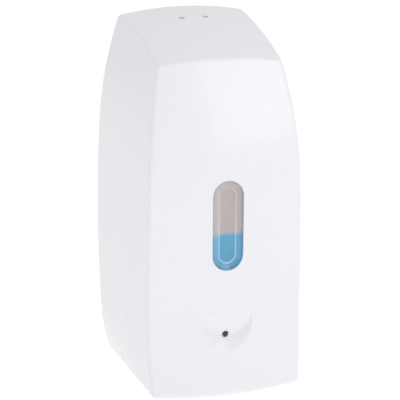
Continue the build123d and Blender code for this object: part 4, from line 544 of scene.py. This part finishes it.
def add_piece(name, mesh_maker, finishes, body, slot, *replaced):
    """Makes a piece from mesh code, dresses it, hangs it on its body and hides the parts that it stands for."""
    work = bmesh.new()
    mesh_maker(work)
    bmesh.ops.remove_doubles(work, verts=work.verts, dist=WELD)
    bmesh.ops.recalc_face_normals(work, faces=work.faces)
    mesh = bpy.data.meshes.new(name)
    work.to_mesh(mesh)
    work.free()
    for finish in finishes:
        mesh.materials.append(finish.material)
    mesh.shade_smooth()
    mesh.set_sharp_from_angle(angle=SHARP)
    piece = bpy.data.objects.new(name, mesh)
    bpy.context.scene.collection.objects.link(piece)
    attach(piece, body)
    if replaced:
        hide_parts(*replaced)
    return piece


def ring(work, place, radius, level, facets):
    """A ring of vertices about a place's Z axis."""
    turns = [2 * pi * index / facets for index in range(facets)]
    return [work.verts.new(place @ Vector((radius * cos(turn), radius * sin(turn), level))) for turn in turns]


def bridge(work, first, second, finish=0):
    """Faces between two rings of the same count."""
    for index in range(len(first)):
        after = (index + 1) % len(first)
        face = work.faces.new((first[index], first[after], second[after], second[index]))
        face.material_index = finish


def turned(work, place, profile, facets, closed=(True, True)):
    """A turned solid from rows of radius, level and finish; returns its last ring."""
    rings = [ring(work, place, radius, level, facets) for radius, level, _ in profile]
    for (first, second), (_, _, finish) in zip(zip(rings, rings[1:]), profile[1:]):
        bridge(work, first, second, finish)
    if closed[0]:
        work.faces.new(rings[0]).material_index = profile[0][2]
    if closed[1]:
        work.faces.new(rings[-1]).material_index = profile[-1][2]
    return rings[-1]


def soft_block(work, low, high, edge, finish=0):
    """A block with its edges broken."""
    middle = (low + high) / 2
    place = Matrix.Translation(middle) @ Matrix.Diagonal((*(high - low), 1.0))
    made = bmesh.ops.create_cube(work, size=1.0, matrix=place)
    edges = {link for vertex in made["verts"] for link in vertex.link_edges}
    result = bmesh.ops.bevel(work, geom=list(edges), offset=edge, segments=2, profile=0.7, affect="EDGES")
    faces = {face for vertex in made["verts"] if vertex.is_valid for face in vertex.link_faces}
    for face in faces | set(result["faces"]):
        face.material_index = finish


def surface_of(node, way):
    """A finder of the outer surface of a CAD node, seen along a way, through any point."""
    mesh = frame["nodes"][node].data
    tree = BVHTree.FromPolygons([vertex.co for vertex in mesh.vertices],
                                [polygon.vertices for polygon in mesh.polygons])

    def find(point):
        """The surface point straight out from this one."""
        start = point + way
        hit = tree.ray_cast(start, -way)[0]
        if hit is None:
            raise RuntimeError(f"{node} has no surface there")
        return hit

    return find


def axis_place(axis, way, origin):
    """A frame at the origin whose Z runs along an axis, one way or the other."""
    direction = Vector((0.0, 0.0, 0.0))
    direction[axis] = way
    turn = direction.to_track_quat("Z", "Y").to_matrix().to_4x4()
    return Matrix.Translation(origin) @ turn


def add_coil(work, foot, height, radius, gauge, turns):
    """A round wire of this radius, the gauge, wound upward, its end turns lying closed."""
    facets, per_turn = 12, 28
    closed = 2.2 * gauge / height
    steps = turns * per_turn
    last = None
    for step in range(steps + 1):
        wound = step / per_turn
        share = min(max((wound - 1) / (turns - 2), 0.0), 1.0)
        ends = min(wound, 1.0) + max(wound - (turns - 1), 0.0)
        level = height * (closed * ends + (1 - 2 * closed) * share)
        turn = 2 * pi * wound
        outward = Vector((cos(turn), sin(turn), 0.0))
        centre = foot + outward * radius + Vector((0.0, 0.0, level))
        loop = []
        for facet in range(facets):
            lean = 2 * pi * facet / facets
            loop.append(work.verts.new(centre + (outward * cos(lean) + Vector((0, 0, sin(lean)))) * gauge))
        if last:
            bridge(work, last, loop)
        else:
            work.faces.new(loop)
        last = loop
    work.faces.new(last)


def measure_screw(points):
    """Seat, head and shank of a plain screw, from its points."""
    low, high = corners(points)
    size = high - low
    axis = max(range(3), key=lambda index: abs(size[index] - (sum(size) - size[index]) / 2))
    middle = (low + high) / 2
    radius = (sum(size) - size[axis]) / 4

    def off_axis(point):
        """Distance of a point from the screw's axis."""
        away = point - middle
        away[axis] = 0
        return away.length

    rim = [point[axis] for point in points if off_axis(point) > 0.97 * radius]
    way = 1 if sum(rim) / len(rim) > middle[axis] else -1
    end = low[axis] if way > 0 else high[axis]
    shank = max(off_axis(point) for point in points if abs(point[axis] - end) < FLAT_END)
    top = high[axis] if way > 0 else low[axis]
    head = max(rim) - min(rim)
    seat = middle.copy()
    seat[axis] = top - way * head
    return axis_place(axis, way, seat), radius, head, shank, size[axis] - head


def cross_outline(work, place, arm, half, level):
    """The twelve corners of a cross."""
    corners_of_arm = ((arm, -half), (arm, half), (half, half))
    points = []
    for quarter in range(4):
        turn = Matrix.Rotation(quarter * pi / 2, 4, "Z")
        points += [turn @ Vector((x, y, level)) for x, y in corners_of_arm]
    return [work.verts.new(place @ point) for point in points]


def add_screw(work, points, fittings):
    """A pan head screw with a cross recess and thread crests, in a plain screw's place."""
    place, radius, head, shank, length = measure_screw(points)
    tip, root, threaded = 0.55, 0.78, 0.9
    crests = max(2, int(length / fittings.thread_pitch))
    outline = [(shank * tip, -length)]
    for index in range(crests):
        level = -length + length * threaded * (index + 0.5) / crests
        outline += [(shank * root, level - length * 0.2 / crests), (shank, level)]
    outline += [(shank, -length * 0.05), (shank, 0.0), (radius * 0.96, 0.0), (radius, head * 0.08)]
    bends, crown, flat, wall = 5, radians(62), 0.28, 0.45
    for index in range(bends + 1):
        turn = index / bends * crown
        rise = sin(turn) / sin(crown)
        outline.append((radius * (flat + (1 - flat) * cos(turn)), head * (wall + (1 - wall) * rise)))
    profile = [(*point, 0) for point in outline]
    top = turned(work, place, profile, fittings.facets, closed=(True, False))
    arm = radius * fittings.recess_share
    mouth = cross_outline(work, place, arm, arm * 0.28, head)
    floor = cross_outline(work, place, arm * 0.62, arm * 0.17, head * (1 - fittings.recess_depth))
    bridge(work, mouth, floor)
    work.faces.new(floor)
    edges = []
    for loop in (top, mouth):
        for pair in zip(loop, loop[1:] + loop[:1]):
            edges.append(work.edges.get(pair) or work.edges.new(pair))
    bmesh.ops.triangle_fill(work, use_beauty=True, edges=edges)


def add_cell(work, points, facets):
    """A cell: sleeve drawn over its shoulders, insulating ring, tip and flat end."""
    low, high = corners(points)
    size = high - low
    radius = max(size.y, size.z) / 2
    middle = (low + high) / 2
    ends = [[point for point in points if abs(point.x - x) < FLAT_END] for x in (low.x, high.x)]
    spans = [max((point - middle).yz.length for point in end) for end in ends]
    way = 1 if spans[1] < spans[0] else -1
    tip = min(spans)
    origin = middle.copy()
    origin.x = low.x if way > 0 else high.x
    nose = max(point.x * way for point in points if (point - middle).yz.length > tip * 1.2) - origin.x * way
    place = axis_place(0, way, origin)
    sleeve, metal = 0, 1
    profile = [
        (radius * 0.62, 0.0, metal), (radius * 0.80, 0.0, metal), (radius * 0.84, 0.3 * MM, metal),
        (radius * 0.86, 0.1 * MM, sleeve), (radius * 0.96, 0.1 * MM, sleeve), (radius, 0.7 * MM, sleeve),
        (radius, nose - 0.8 * MM, sleeve), (radius * 0.95, nose, sleeve), (radius * 0.80, nose, sleeve),
        (radius * 0.78, nose - 0.4 * MM, sleeve), (radius * 0.55, nose - 0.4 * MM, metal),
        (tip, nose - 0.1 * MM, metal), (tip, size.x - 0.3 * MM, metal), (tip * 0.86, size.x, metal)]
    turned(work, place, profile, facets)


def add_chip(work, low, high, lead):
    """A chip: bevelled body, and leads folded down along two sides."""
    size = high - low
    reach = size.x * 0.14
    inset = Vector((reach, 0, 0))
    lift = Vector((0, 0, size.z * 0.12))
    soft_block(work, low + inset + lift, high - inset, size.z * 0.12, PART_BLACK)
    count = max(3, int(size.y / (2.6 * lead)))
    for outer, inner in ((low.x, low.x + reach), (high.x, high.x - reach)):
        for index in range(count):
            y = low.y + size.y * (index + 0.5) / count
            for start, tall in ((outer, size.z * 0.14), ((outer + inner) / 2, size.z * 0.55)):
                foot = Vector((min(start, inner), y - lead / 2, low.z))
                top = Vector((max(start, inner), y + lead / 2, low.z + tall))
                soft_block(work, foot, top, lead * 0.1, PART_METAL)


def add_capacitor(work, low, high, facets):
    """An upright can: rolled groove near its foot, sleeve, and a scored bare top."""
    sleeve, metal = PART_SLEEVE, PART_METAL
    radius = (high.x - low.x) / 2
    foot = Vector(((low.x + high.x) / 2, (low.y + high.y) / 2, low.z))
    tall = high.z - low.z
    profile = [
        (radius * 0.9, 0.0, sleeve), (radius, tall * 0.04, sleeve), (radius, tall * 0.12, sleeve),
        (radius * 0.9, tall * 0.16, sleeve), (radius, tall * 0.20, sleeve), (radius, tall * 0.96, sleeve),
        (radius * 0.94, tall, sleeve), (radius * 0.82, tall, sleeve), (radius * 0.80, tall * 0.985, metal),
        (radius * 0.1, tall * 0.985, metal)]
    turned(work, Matrix.Translation(foot), profile, facets)


def add_connector(work, low, high, lead):
    """A pin header: four shroud walls round a row of pins."""
    size = high - low
    wall, edge, pins = 0.9 * MM, 0.12 * MM, 3
    floor = low, Vector((high.x, high.y, low.z + size.z * 0.3))
    front = low, Vector((high.x, low.y + wall, high.z))
    back = Vector((low.x, high.y - wall, low.z)), high
    left = low, Vector((low.x + wall, high.y, high.z))
    right = Vector((high.x - wall, low.y, low.z)), high
    for block in (floor, front, back, left, right):
        soft_block(work, *block, edge, PART_SHELL)
    half = Vector((lead / 2, lead / 2, 0))
    for index in range(pins):
        foot = Vector((low.x + size.x * (index + 1) / (pins + 1), (low.y + high.y) / 2, low.z))
        tip = Vector((foot.x, foot.y, high.z - wall))
        soft_block(work, foot - half, tip + half, lead * 0.2, PART_METAL)


def add_resistor(work, low, high):
    """A surface resistor: dark body between two bright end caps."""
    cap = Vector(((high.x - low.x) * 0.2, 0, 0))
    edge = 0.05 * MM
    soft_block(work, low + cap, high - cap, edge, PART_BLACK)
    soft_block(work, low, Vector((low.x + cap.x, high.y, high.z)), edge, PART_METAL)
    soft_block(work, Vector((high.x - cap.x, low.y, low.z)), high, edge, PART_METAL)


def add_board_part(work, points, fittings):
    """The detailed part that fits a plain board part's box."""
    low, high = corners(points)
    size = high - low
    longest = max(size.x, size.y)
    if size.z > 1.1 * longest:
        add_capacitor(work, low, high, fittings.facets)
    elif size.z > CONNECTOR_HEIGHT:
        add_connector(work, low, high, fittings.lead_width)
    elif longest < RESISTOR_LENGTH:
        add_resistor(work, low, high)
    else:
        add_chip(work, low, high, fittings.lead_width)


# ================================================================ operators
class DISPENSER_OT_stage(bpy.types.Operator):
    """Adds the camera, the studio lights, the pale surroundings and the floor"""

    bl_idname = "dispenser.stage"
    bl_label = "Stage"

    def execute(self, context):
        stage = context.scene.dispenser.stage
        context.scene.view_settings.view_transform = "Standard"
        self.add_camera(context.scene, stage)
        self.add_world(context.scene, stage)
        self.add_light("key_softbox", (1.25, -2.2, 0.85), (1.5, 1.5), stage.key)
        self.add_light("strip_softbox", (-1.45, -0.52, -0.42), (0.10, 1.5), stage.strip)
        self.add_light("top_softbox", (0.0, -0.5, 2.2), (1.4, 1.4), stage.top)
        self.add_floor(context.scene, stage)
        return {"FINISHED"}

    def add_camera(self, scene, stage):
        """The camera, turned by its yaw, pitch and roll about its target."""
        ahead = cos(stage.pitch)
        forward = Vector((sin(stage.yaw) * ahead, cos(stage.yaw) * ahead, -sin(stage.pitch)))
        level = Vector((cos(stage.yaw), -sin(stage.yaw), 0.0))
        upright = level.cross(forward)
        right = level * cos(stage.roll) + upright * sin(stage.roll)
        up = upright * cos(stage.roll) - level * sin(stage.roll)
        data = bpy.data.cameras.new("camera")
        data.sensor_width = SENSOR_WIDTH
        data.lens = stage.focal_length
        camera = bpy.data.objects.new("camera", data)
        turn = Matrix((right, up, -forward)).transposed().to_4x4()
        camera.matrix_world = Matrix.Translation(Vector(stage.target) - forward * stage.distance) @ turn
        scene.collection.objects.link(camera)
        scene.camera = camera

    def add_world(self, scene, stage):
        """Even light all round, and pure white where the camera sees past everything."""
        scene.world = bpy.data.worlds.new("studio")
        scene.world.use_nodes = True
        tree = scene.world.node_tree
        light = tree.nodes["Background"]
        light.inputs["Color"].default_value = (*WHITE, 1.0)
        light.inputs["Strength"].default_value = stage.sky
        white = tree.nodes.new("ShaderNodeBackground")
        white.inputs["Color"].default_value = (*WHITE, 1.0)
        seen = tree.nodes.new("ShaderNodeLightPath")
        choice = tree.nodes.new("ShaderNodeMixShader")
        tree.links.new(seen.outputs["Is Camera Ray"], choice.inputs[0])
        tree.links.new(light.outputs[0], choice.inputs[1])
        tree.links.new(white.outputs[0], choice.inputs[2])
        tree.links.new(choice.outputs[0], tree.nodes["World Output"].inputs["Surface"])

    def add_light(self, name, position, size, power):
        """A rectangular softbox that faces the dispenser."""
        data = bpy.data.lights.new(name, "AREA")
        data.shape = "RECTANGLE"
        data.size, data.size_y = size
        data.energy = power
        light = bpy.data.objects.new(name, data)
        light.location = position
        light.rotation_euler = (-Vector(position)).to_track_quat("-Z", "Y").to_euler()
        bpy.context.scene.collection.objects.link(light)

    def add_floor(self, scene, stage):
        """A wide pale floor, far below the dispenser."""
        finish = Finish("floor_pale")
        cloud = finish.noise(0.6, 3)
        finish.colour(finish.blend(cloud, (0.90, 0.90, 0.90), (0.93, 0.93, 0.93)))
        finish.roughness(cloud, 0.85, 0.95)
        finish.light((*WHITE, 1.0), stage.floor_glow)
        work = bmesh.new()
        level = Matrix.Translation((0, 0, -stage.floor_drop))
        bmesh.ops.create_grid(work, x_segments=12, y_segments=12, size=FLOOR_REACH, matrix=level)
        mesh = bpy.data.meshes.new("floor")
        work.to_mesh(mesh)
        work.free()
        mesh.materials.append(finish.material)
        floor = bpy.data.objects.new("floor", mesh)
        scene.collection.objects.link(floor)


class DISPENSER_OT_cover(bpy.types.Operator):
    """Finishes the white outer cover"""

    bl_idname = "dispenser.cover"
    bl_label = "Cover"

    def execute(self, context):
        dress(gloss_cover(context.scene.dispenser.moulded.cover), "front_cover")
        return {"FINISHED"}


class DISPENSER_OT_window(bpy.types.Operator):
    """Finishes the capsule window, the light pipe and the lamp behind it"""

    bl_idname = "dispenser.window"
    bl_label = "Window and indicator"

    def execute(self, context):
        clear = context.scene.dispenser.clear
        flange = Vector((clear.flange, 0.0, clear.flange))
        low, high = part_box("window_lens")
        window = window_clear(clear.window, low + flange, high - flange, clear.border, clear.painted_glint)
        dress(window, "window_lens")
        pipe = polished_clear("light_pipe_clear", shade(clear.window, 0.9), roughness=0.04)
        dress(pipe, "indicator_lens")
        dress(tinted_epoxy(clear.led), "indicator_led")
        return {"FINISHED"}


class DISPENSER_OT_tank(bpy.types.Operator):
    """Finishes the tank, its soap, lid and seals, and adds the moulded level ribs"""

    bl_idname = "dispenser.tank"
    bl_label = "Tank"

    def execute(self, context):
        settings = context.scene.dispenser
        clear, moulded = settings.clear, settings.moulded
        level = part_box("soap")[1][2]
        wall = translucent_tank(clear.tank, clear.wetted, clear.painted_glow, level, clear.meniscus)
        dress(wall, "tank_body", "tank_top")
        dress(tinted_liquid(clear.soap), "soap")
        lid = moulded_plastic("lid_matt", moulded.lid, roughness=0.5, grain=1700, depth=0.006 * MM)
        dress(lid, "tank_lid")
        rubber = soft_rubber("seal_rubber", moulded.rubber, roughness=0.65, sheen=0.15)
        dress(rubber, "lid_seal", "spout_seal")
        self.add_level_ribs(settings.fittings, wall)
        self.add_lid_ribs(settings.fittings)
        return {"FINISHED"}

    def add_level_ribs(self, fittings, wall):
        """Short moulded ribs up one side of the tank, every fifth one longer."""
        low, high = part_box("tank_body")
        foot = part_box("soap")[0].z
        step = (high.z - foot) * 0.82 / LEVEL_STEPS
        start = (low.y + high.y) / 2
        half = fittings.rib_width / 2
        side = surface_of("tank_body", Vector((-1, 0, 0)))

        def make(work):
            """All the ribs."""
            for index in range(1, LEVEL_STEPS + 1):
                z = foot + index * step
                end = start + fittings.rib_length * (1.0 if index % LONG_STEP == 0 else 0.6)
                reach = [side(Vector((0, y, z))).x for y in (start, end)]
                inner = max(reach) + fittings.rib_height
                outer = min(reach) - fittings.rib_height / 2
                rib = Vector((outer, start, z - half)), Vector((inner, end, z + half))
                soft_block(work, *rib, fittings.rib_height * 0.2)

        add_piece("tank_level_ribs", make, (wall,), "tank", "tank_clear")

    def add_lid_ribs(self, fittings):
        """Three low finger ribs along the front of the lid."""
        low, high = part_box("tank_lid")
        half = (high.x - low.x) * 0.18
        height, width = fittings.rib_height, fittings.rib_width * 1.4
        top = surface_of("tank_lid", Vector((0, 0, 1)))
        colour = bpy.context.scene.dispenser.moulded.lid
        grey = moulded_plastic("lid_rib_matt", colour, roughness=0.45, grain=1700, depth=0.006 * MM)

        def make(work):
            """All the ribs."""
            for share in (0.22, 0.29, 0.36):
                y = low.y + (high.y - low.y) * share
                z = top(Vector((0, y, 0))).z
                rib = Vector((-half, y, z - height)), Vector((half, y + width, z + height * 0.6))
                soft_block(work, *rib, height * 0.25)

        add_piece("lid_finger_ribs", make, (grey,), "lid", "lid_grey")


class DISPENSER_OT_frame(bpy.types.Operator):
    """Finishes the back plate, the base housing, the tank's deck and the battery door"""

    bl_idname = "dispenser.frame"
    bl_label = "Frame"

    def execute(self, context):
        moulded = context.scene.dispenser.moulded
        inside = moulded_plastic(
            "frame_matt_white", moulded.frame, roughness=0.48, grain=1500, depth=0.006 * MM, tone=0.02)
        dress(inside, "back_plate", "base_housing", "tank_deck", "latch_guide")
        door = moulded_plastic(
            "door_spark_texture", moulded.door, roughness=0.52, grain=1100, depth=0.01 * MM)
        dress(door, "battery_door")
        return {"FINISHED"}


class DISPENSER_OT_latch(bpy.types.Operator):
    """Finishes the acetal latch and its springs"""

    bl_idname = "dispenser.latch"
    bl_label = "Latch"

    def execute(self, context):
        colour = context.scene.dispenser.moulded.latch
        dress(moulded_plastic("latch_acetal", colour, roughness=0.35, grain=2200), "cover_latch")
        wire = ground_metal(
            "spring_drawn_wire", SLOT_COLOURS["spring_steel"], roughness=0.16, grain=(1, 1, 0.3),
            depth=0.002 * MM)
        dress(wire, "battery_springs")
        self.add_springs(context.scene.dispenser.fittings, wire)
        return {"FINISHED"}

    def add_springs(self, fittings, wire):
        """Two coil springs under the latch."""
        low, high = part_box("latch_springs")
        length = high.z - low.z
        outer = (high.y - low.y) / 2
        gauge = fittings.spring_wire / 2
        middle = (low.y + high.y) / 2

        def make(work):
            """Both springs."""
            for x in (low.x + outer, high.x - outer):
                foot = Vector((x, middle, low.z + gauge))
                add_coil(work, foot, length - 2 * gauge, outer - gauge, gauge, fittings.spring_turns)

        springs = add_piece("latch_springs_wound", make, (wire,), "root", "spring_steel", "latch_springs")
        press = next(joint for joint in frame["joints"] if joint["name"] == "latch_press")
        travel = press["range_m"][1]
        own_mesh(springs)


class DISPENSER_OT_pump(bpy.types.Operator):
    """Finishes the gear pump, its motor, shafts and pins"""

    bl_idname = "dispenser.pump"
    bl_label = "Pump and motor"

    def execute(self, context):
        moulded = context.scene.dispenser.moulded
        halves = moulded_plastic(
            "pump_glass_filled", moulded.pump, roughness=0.55, grain=900, depth=0.015 * MM, tone=0.1)
        dress(halves, "pump_body", "pump_cover")
        gears = moulded_plastic(
            "gear_natural_acetal", moulded.gears, roughness=0.38, grain=2000, depth=0.01 * MM, tone=0.03)
        dress(gears, "drive_gear", "idler_gear")
        can = ground_metal(
            "motor_plated_can", SLOT_COLOURS["motor_steel"], roughness=0.20, grain=(0.3, 1, 1))
        dress(can, "motor_can")
        cap = moulded_plastic(
            "motor_cap_black", SLOT_COLOURS["motor_black"], roughness=0.5, grain=1600, depth=0.02 * MM,
            tone=0.1)
        dress(cap, "motor_cap")
        steel = ground_metal("pin_ground_steel", SLOT_COLOURS["steel"], roughness=0.24, grain=(0.05, 1, 1))
        dress(steel, "motor_shaft", "idler_pin", "hinge_pins", "lid_pin", "battery_contacts")
        return {"FINISHED"}


class DISPENSER_OT_outlet(bpy.types.Operator):
    """Finishes the hoses, the nozzle, its drip valve and the hand sensor's window"""

    bl_idname = "dispenser.outlet"
    bl_label = "Outlet and sensor"

    def execute(self, context):
        moulded = context.scene.dispenser.moulded
        nozzle = moulded_plastic(
            "nozzle_smooth", moulded.nozzle, roughness=0.28, grain=2200, depth=0.004 * MM)
        dress(nozzle, "nozzle")
        silicone = soft_rubber("hose_silicone", moulded.silicone, roughness=0.42, sheen=0.05, through=0.35)
        dress(silicone, "inlet_hose", "outlet_hose", "drip_valve")
        dress(smoked_glass(SLOT_COLOURS["smoked_window"]), "sensor_window")
        return {"FINISHED"}


class DISPENSER_OT_cells(bpy.types.Operator):
    """Adds the sleeved cells in the place of the plain ones"""

    bl_idname = "dispenser.cells"
    bl_label = "Cells"

    def execute(self, context):
        fittings = context.scene.dispenser.fittings
        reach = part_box("battery_cells")[1][0]
        sleeve = cell_sleeve(fittings.sleeve, fittings.band, reach)
        ends = ground_metal("cell_nickel_end", NICKEL, roughness=0.22)
        solids = solids_of("battery_cells")

        def make(work):
            """Every cell of the bay."""
            for points in solids:
                add_cell(work, points, fittings.facets)

        add_piece("battery_cells_sleeved", make, (sleeve, ends), "root", "cell_wrap", "battery_cells")
        return {"FINISHED"}


class DISPENSER_OT_boards(bpy.types.Operator):
    """Finishes the boards and adds the chips, cans and connectors on the main one"""

    bl_idname = "dispenser.boards"
    bl_label = "Boards"

    def execute(self, context):
        fittings = context.scene.dispenser.fittings
        dress(solder_mask(fittings.board), "main_board", "control_board", "sensor_board")
        black = moulded_plastic(
            "part_moulded_black", SLOT_COLOURS["board_black"], roughness=0.5, depth=0.008 * MM, tone=0.1)
        dress(black, "button_switch", "power_switch", "sensor_eyes")
        tinned = ground_metal("part_tinned_lead", TIN, roughness=0.28)
        can_sleeve = moulded_plastic(
            "can_sleeve", NAVY, roughness=0.3, grain=2000, depth=0.006 * MM, tone=0.08)
        shroud = moulded_plastic(
            "connector_nylon", CREAM, roughness=0.45, grain=1600, depth=0.01 * MM, tone=0.03)
        solids = solids_of("board_parts")

        def make(work):
            """Every part of the main board."""
            for points in solids:
                add_board_part(work, points, fittings)

        finishes = (black, tinned, can_sleeve, shroud)
        add_piece("board_parts_fitted", make, finishes, "root", "board_black", "board_parts")
        return {"FINISHED"}


class DISPENSER_OT_controls(bpy.types.Operator):
    """Finishes the dose button and the power knob"""

    bl_idname = "dispenser.controls"
    bl_label = "Controls"

    def execute(self, context):
        colour = context.scene.dispenser.moulded.controls
        grey = moulded_plastic("control_matt_grey", colour, roughness=0.5, grain=1600, depth=0.02 * MM)
        dress(grey, "dose_button", "power_knob")
        return {"FINISHED"}


class DISPENSER_OT_screws(bpy.types.Operator):
    """Adds cross recess screws in the places of the plain ones"""

    bl_idname = "dispenser.screws"
    bl_label = "Screws"

    def execute(self, context):
        fittings = context.scene.dispenser.fittings
        zinc = zinc_plate(SLOT_COLOURS["screw_zinc"])
        for node in ("housing_screws", "guide_screws", "pump_screws", "board_screws"):
            solids = solids_of(node)

            def make(work, solids=solids):
                """Every screw of one node."""
                for points in solids:
                    add_screw(work, points, fittings)

            add_piece(f"{node}_recessed", make, (zinc,), "root", "screw_zinc", node)
        return {"FINISHED"}


class DISPENSER_PT_parts(bpy.types.Panel):
    """Lists the dispenser's settings and operators"""

    bl_idname = "DISPENSER_PT_parts"
    bl_label = "Soap dispenser"
    bl_space_type = "VIEW_3D"
    bl_region_type = "UI"
    bl_category = "Dispenser"

    def draw(self, context):
        layout = self.layout
        for group in ("moulded", "clear", "fittings", "stage"):
            box = layout.box()
            settings = getattr(context.scene.dispenser, group)
            for name in settings.__annotations__:
                box.prop(settings, name)
        for operator in STEPS:
            layout.operator(operator.bl_idname)


STEPS = (
    DISPENSER_OT_stage, DISPENSER_OT_cover, DISPENSER_OT_window, DISPENSER_OT_tank, DISPENSER_OT_frame,
    DISPENSER_OT_latch, DISPENSER_OT_pump, DISPENSER_OT_outlet, DISPENSER_OT_cells, DISPENSER_OT_boards,
    DISPENSER_OT_controls, DISPENSER_OT_screws)
GROUPS = (MouldedColours, ClearParts, Fittings, StageSettings, DispenserSettings)


def register():
    """Makes the settings, the operators and the panel known."""
    for kind in (*GROUPS, *STEPS, DISPENSER_PT_parts):
        bpy.utils.register_class(kind)
    bpy.types.Scene.dispenser = PointerProperty(type=DispenserSettings)


def unregister():
    """Takes everything back out, in the opposite order."""
    del bpy.types.Scene.dispenser
    for kind in reversed((*GROUPS, *STEPS, DISPENSER_PT_parts)):
        bpy.utils.unregister_class(kind)


def main():
    """Builds the whole look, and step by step."""
    register()
    for operator in STEPS:
        group, name = operator.bl_idname.split(".")
        getattr(getattr(bpy.ops, group), name)()


if __name__ == "__main__":
    main()
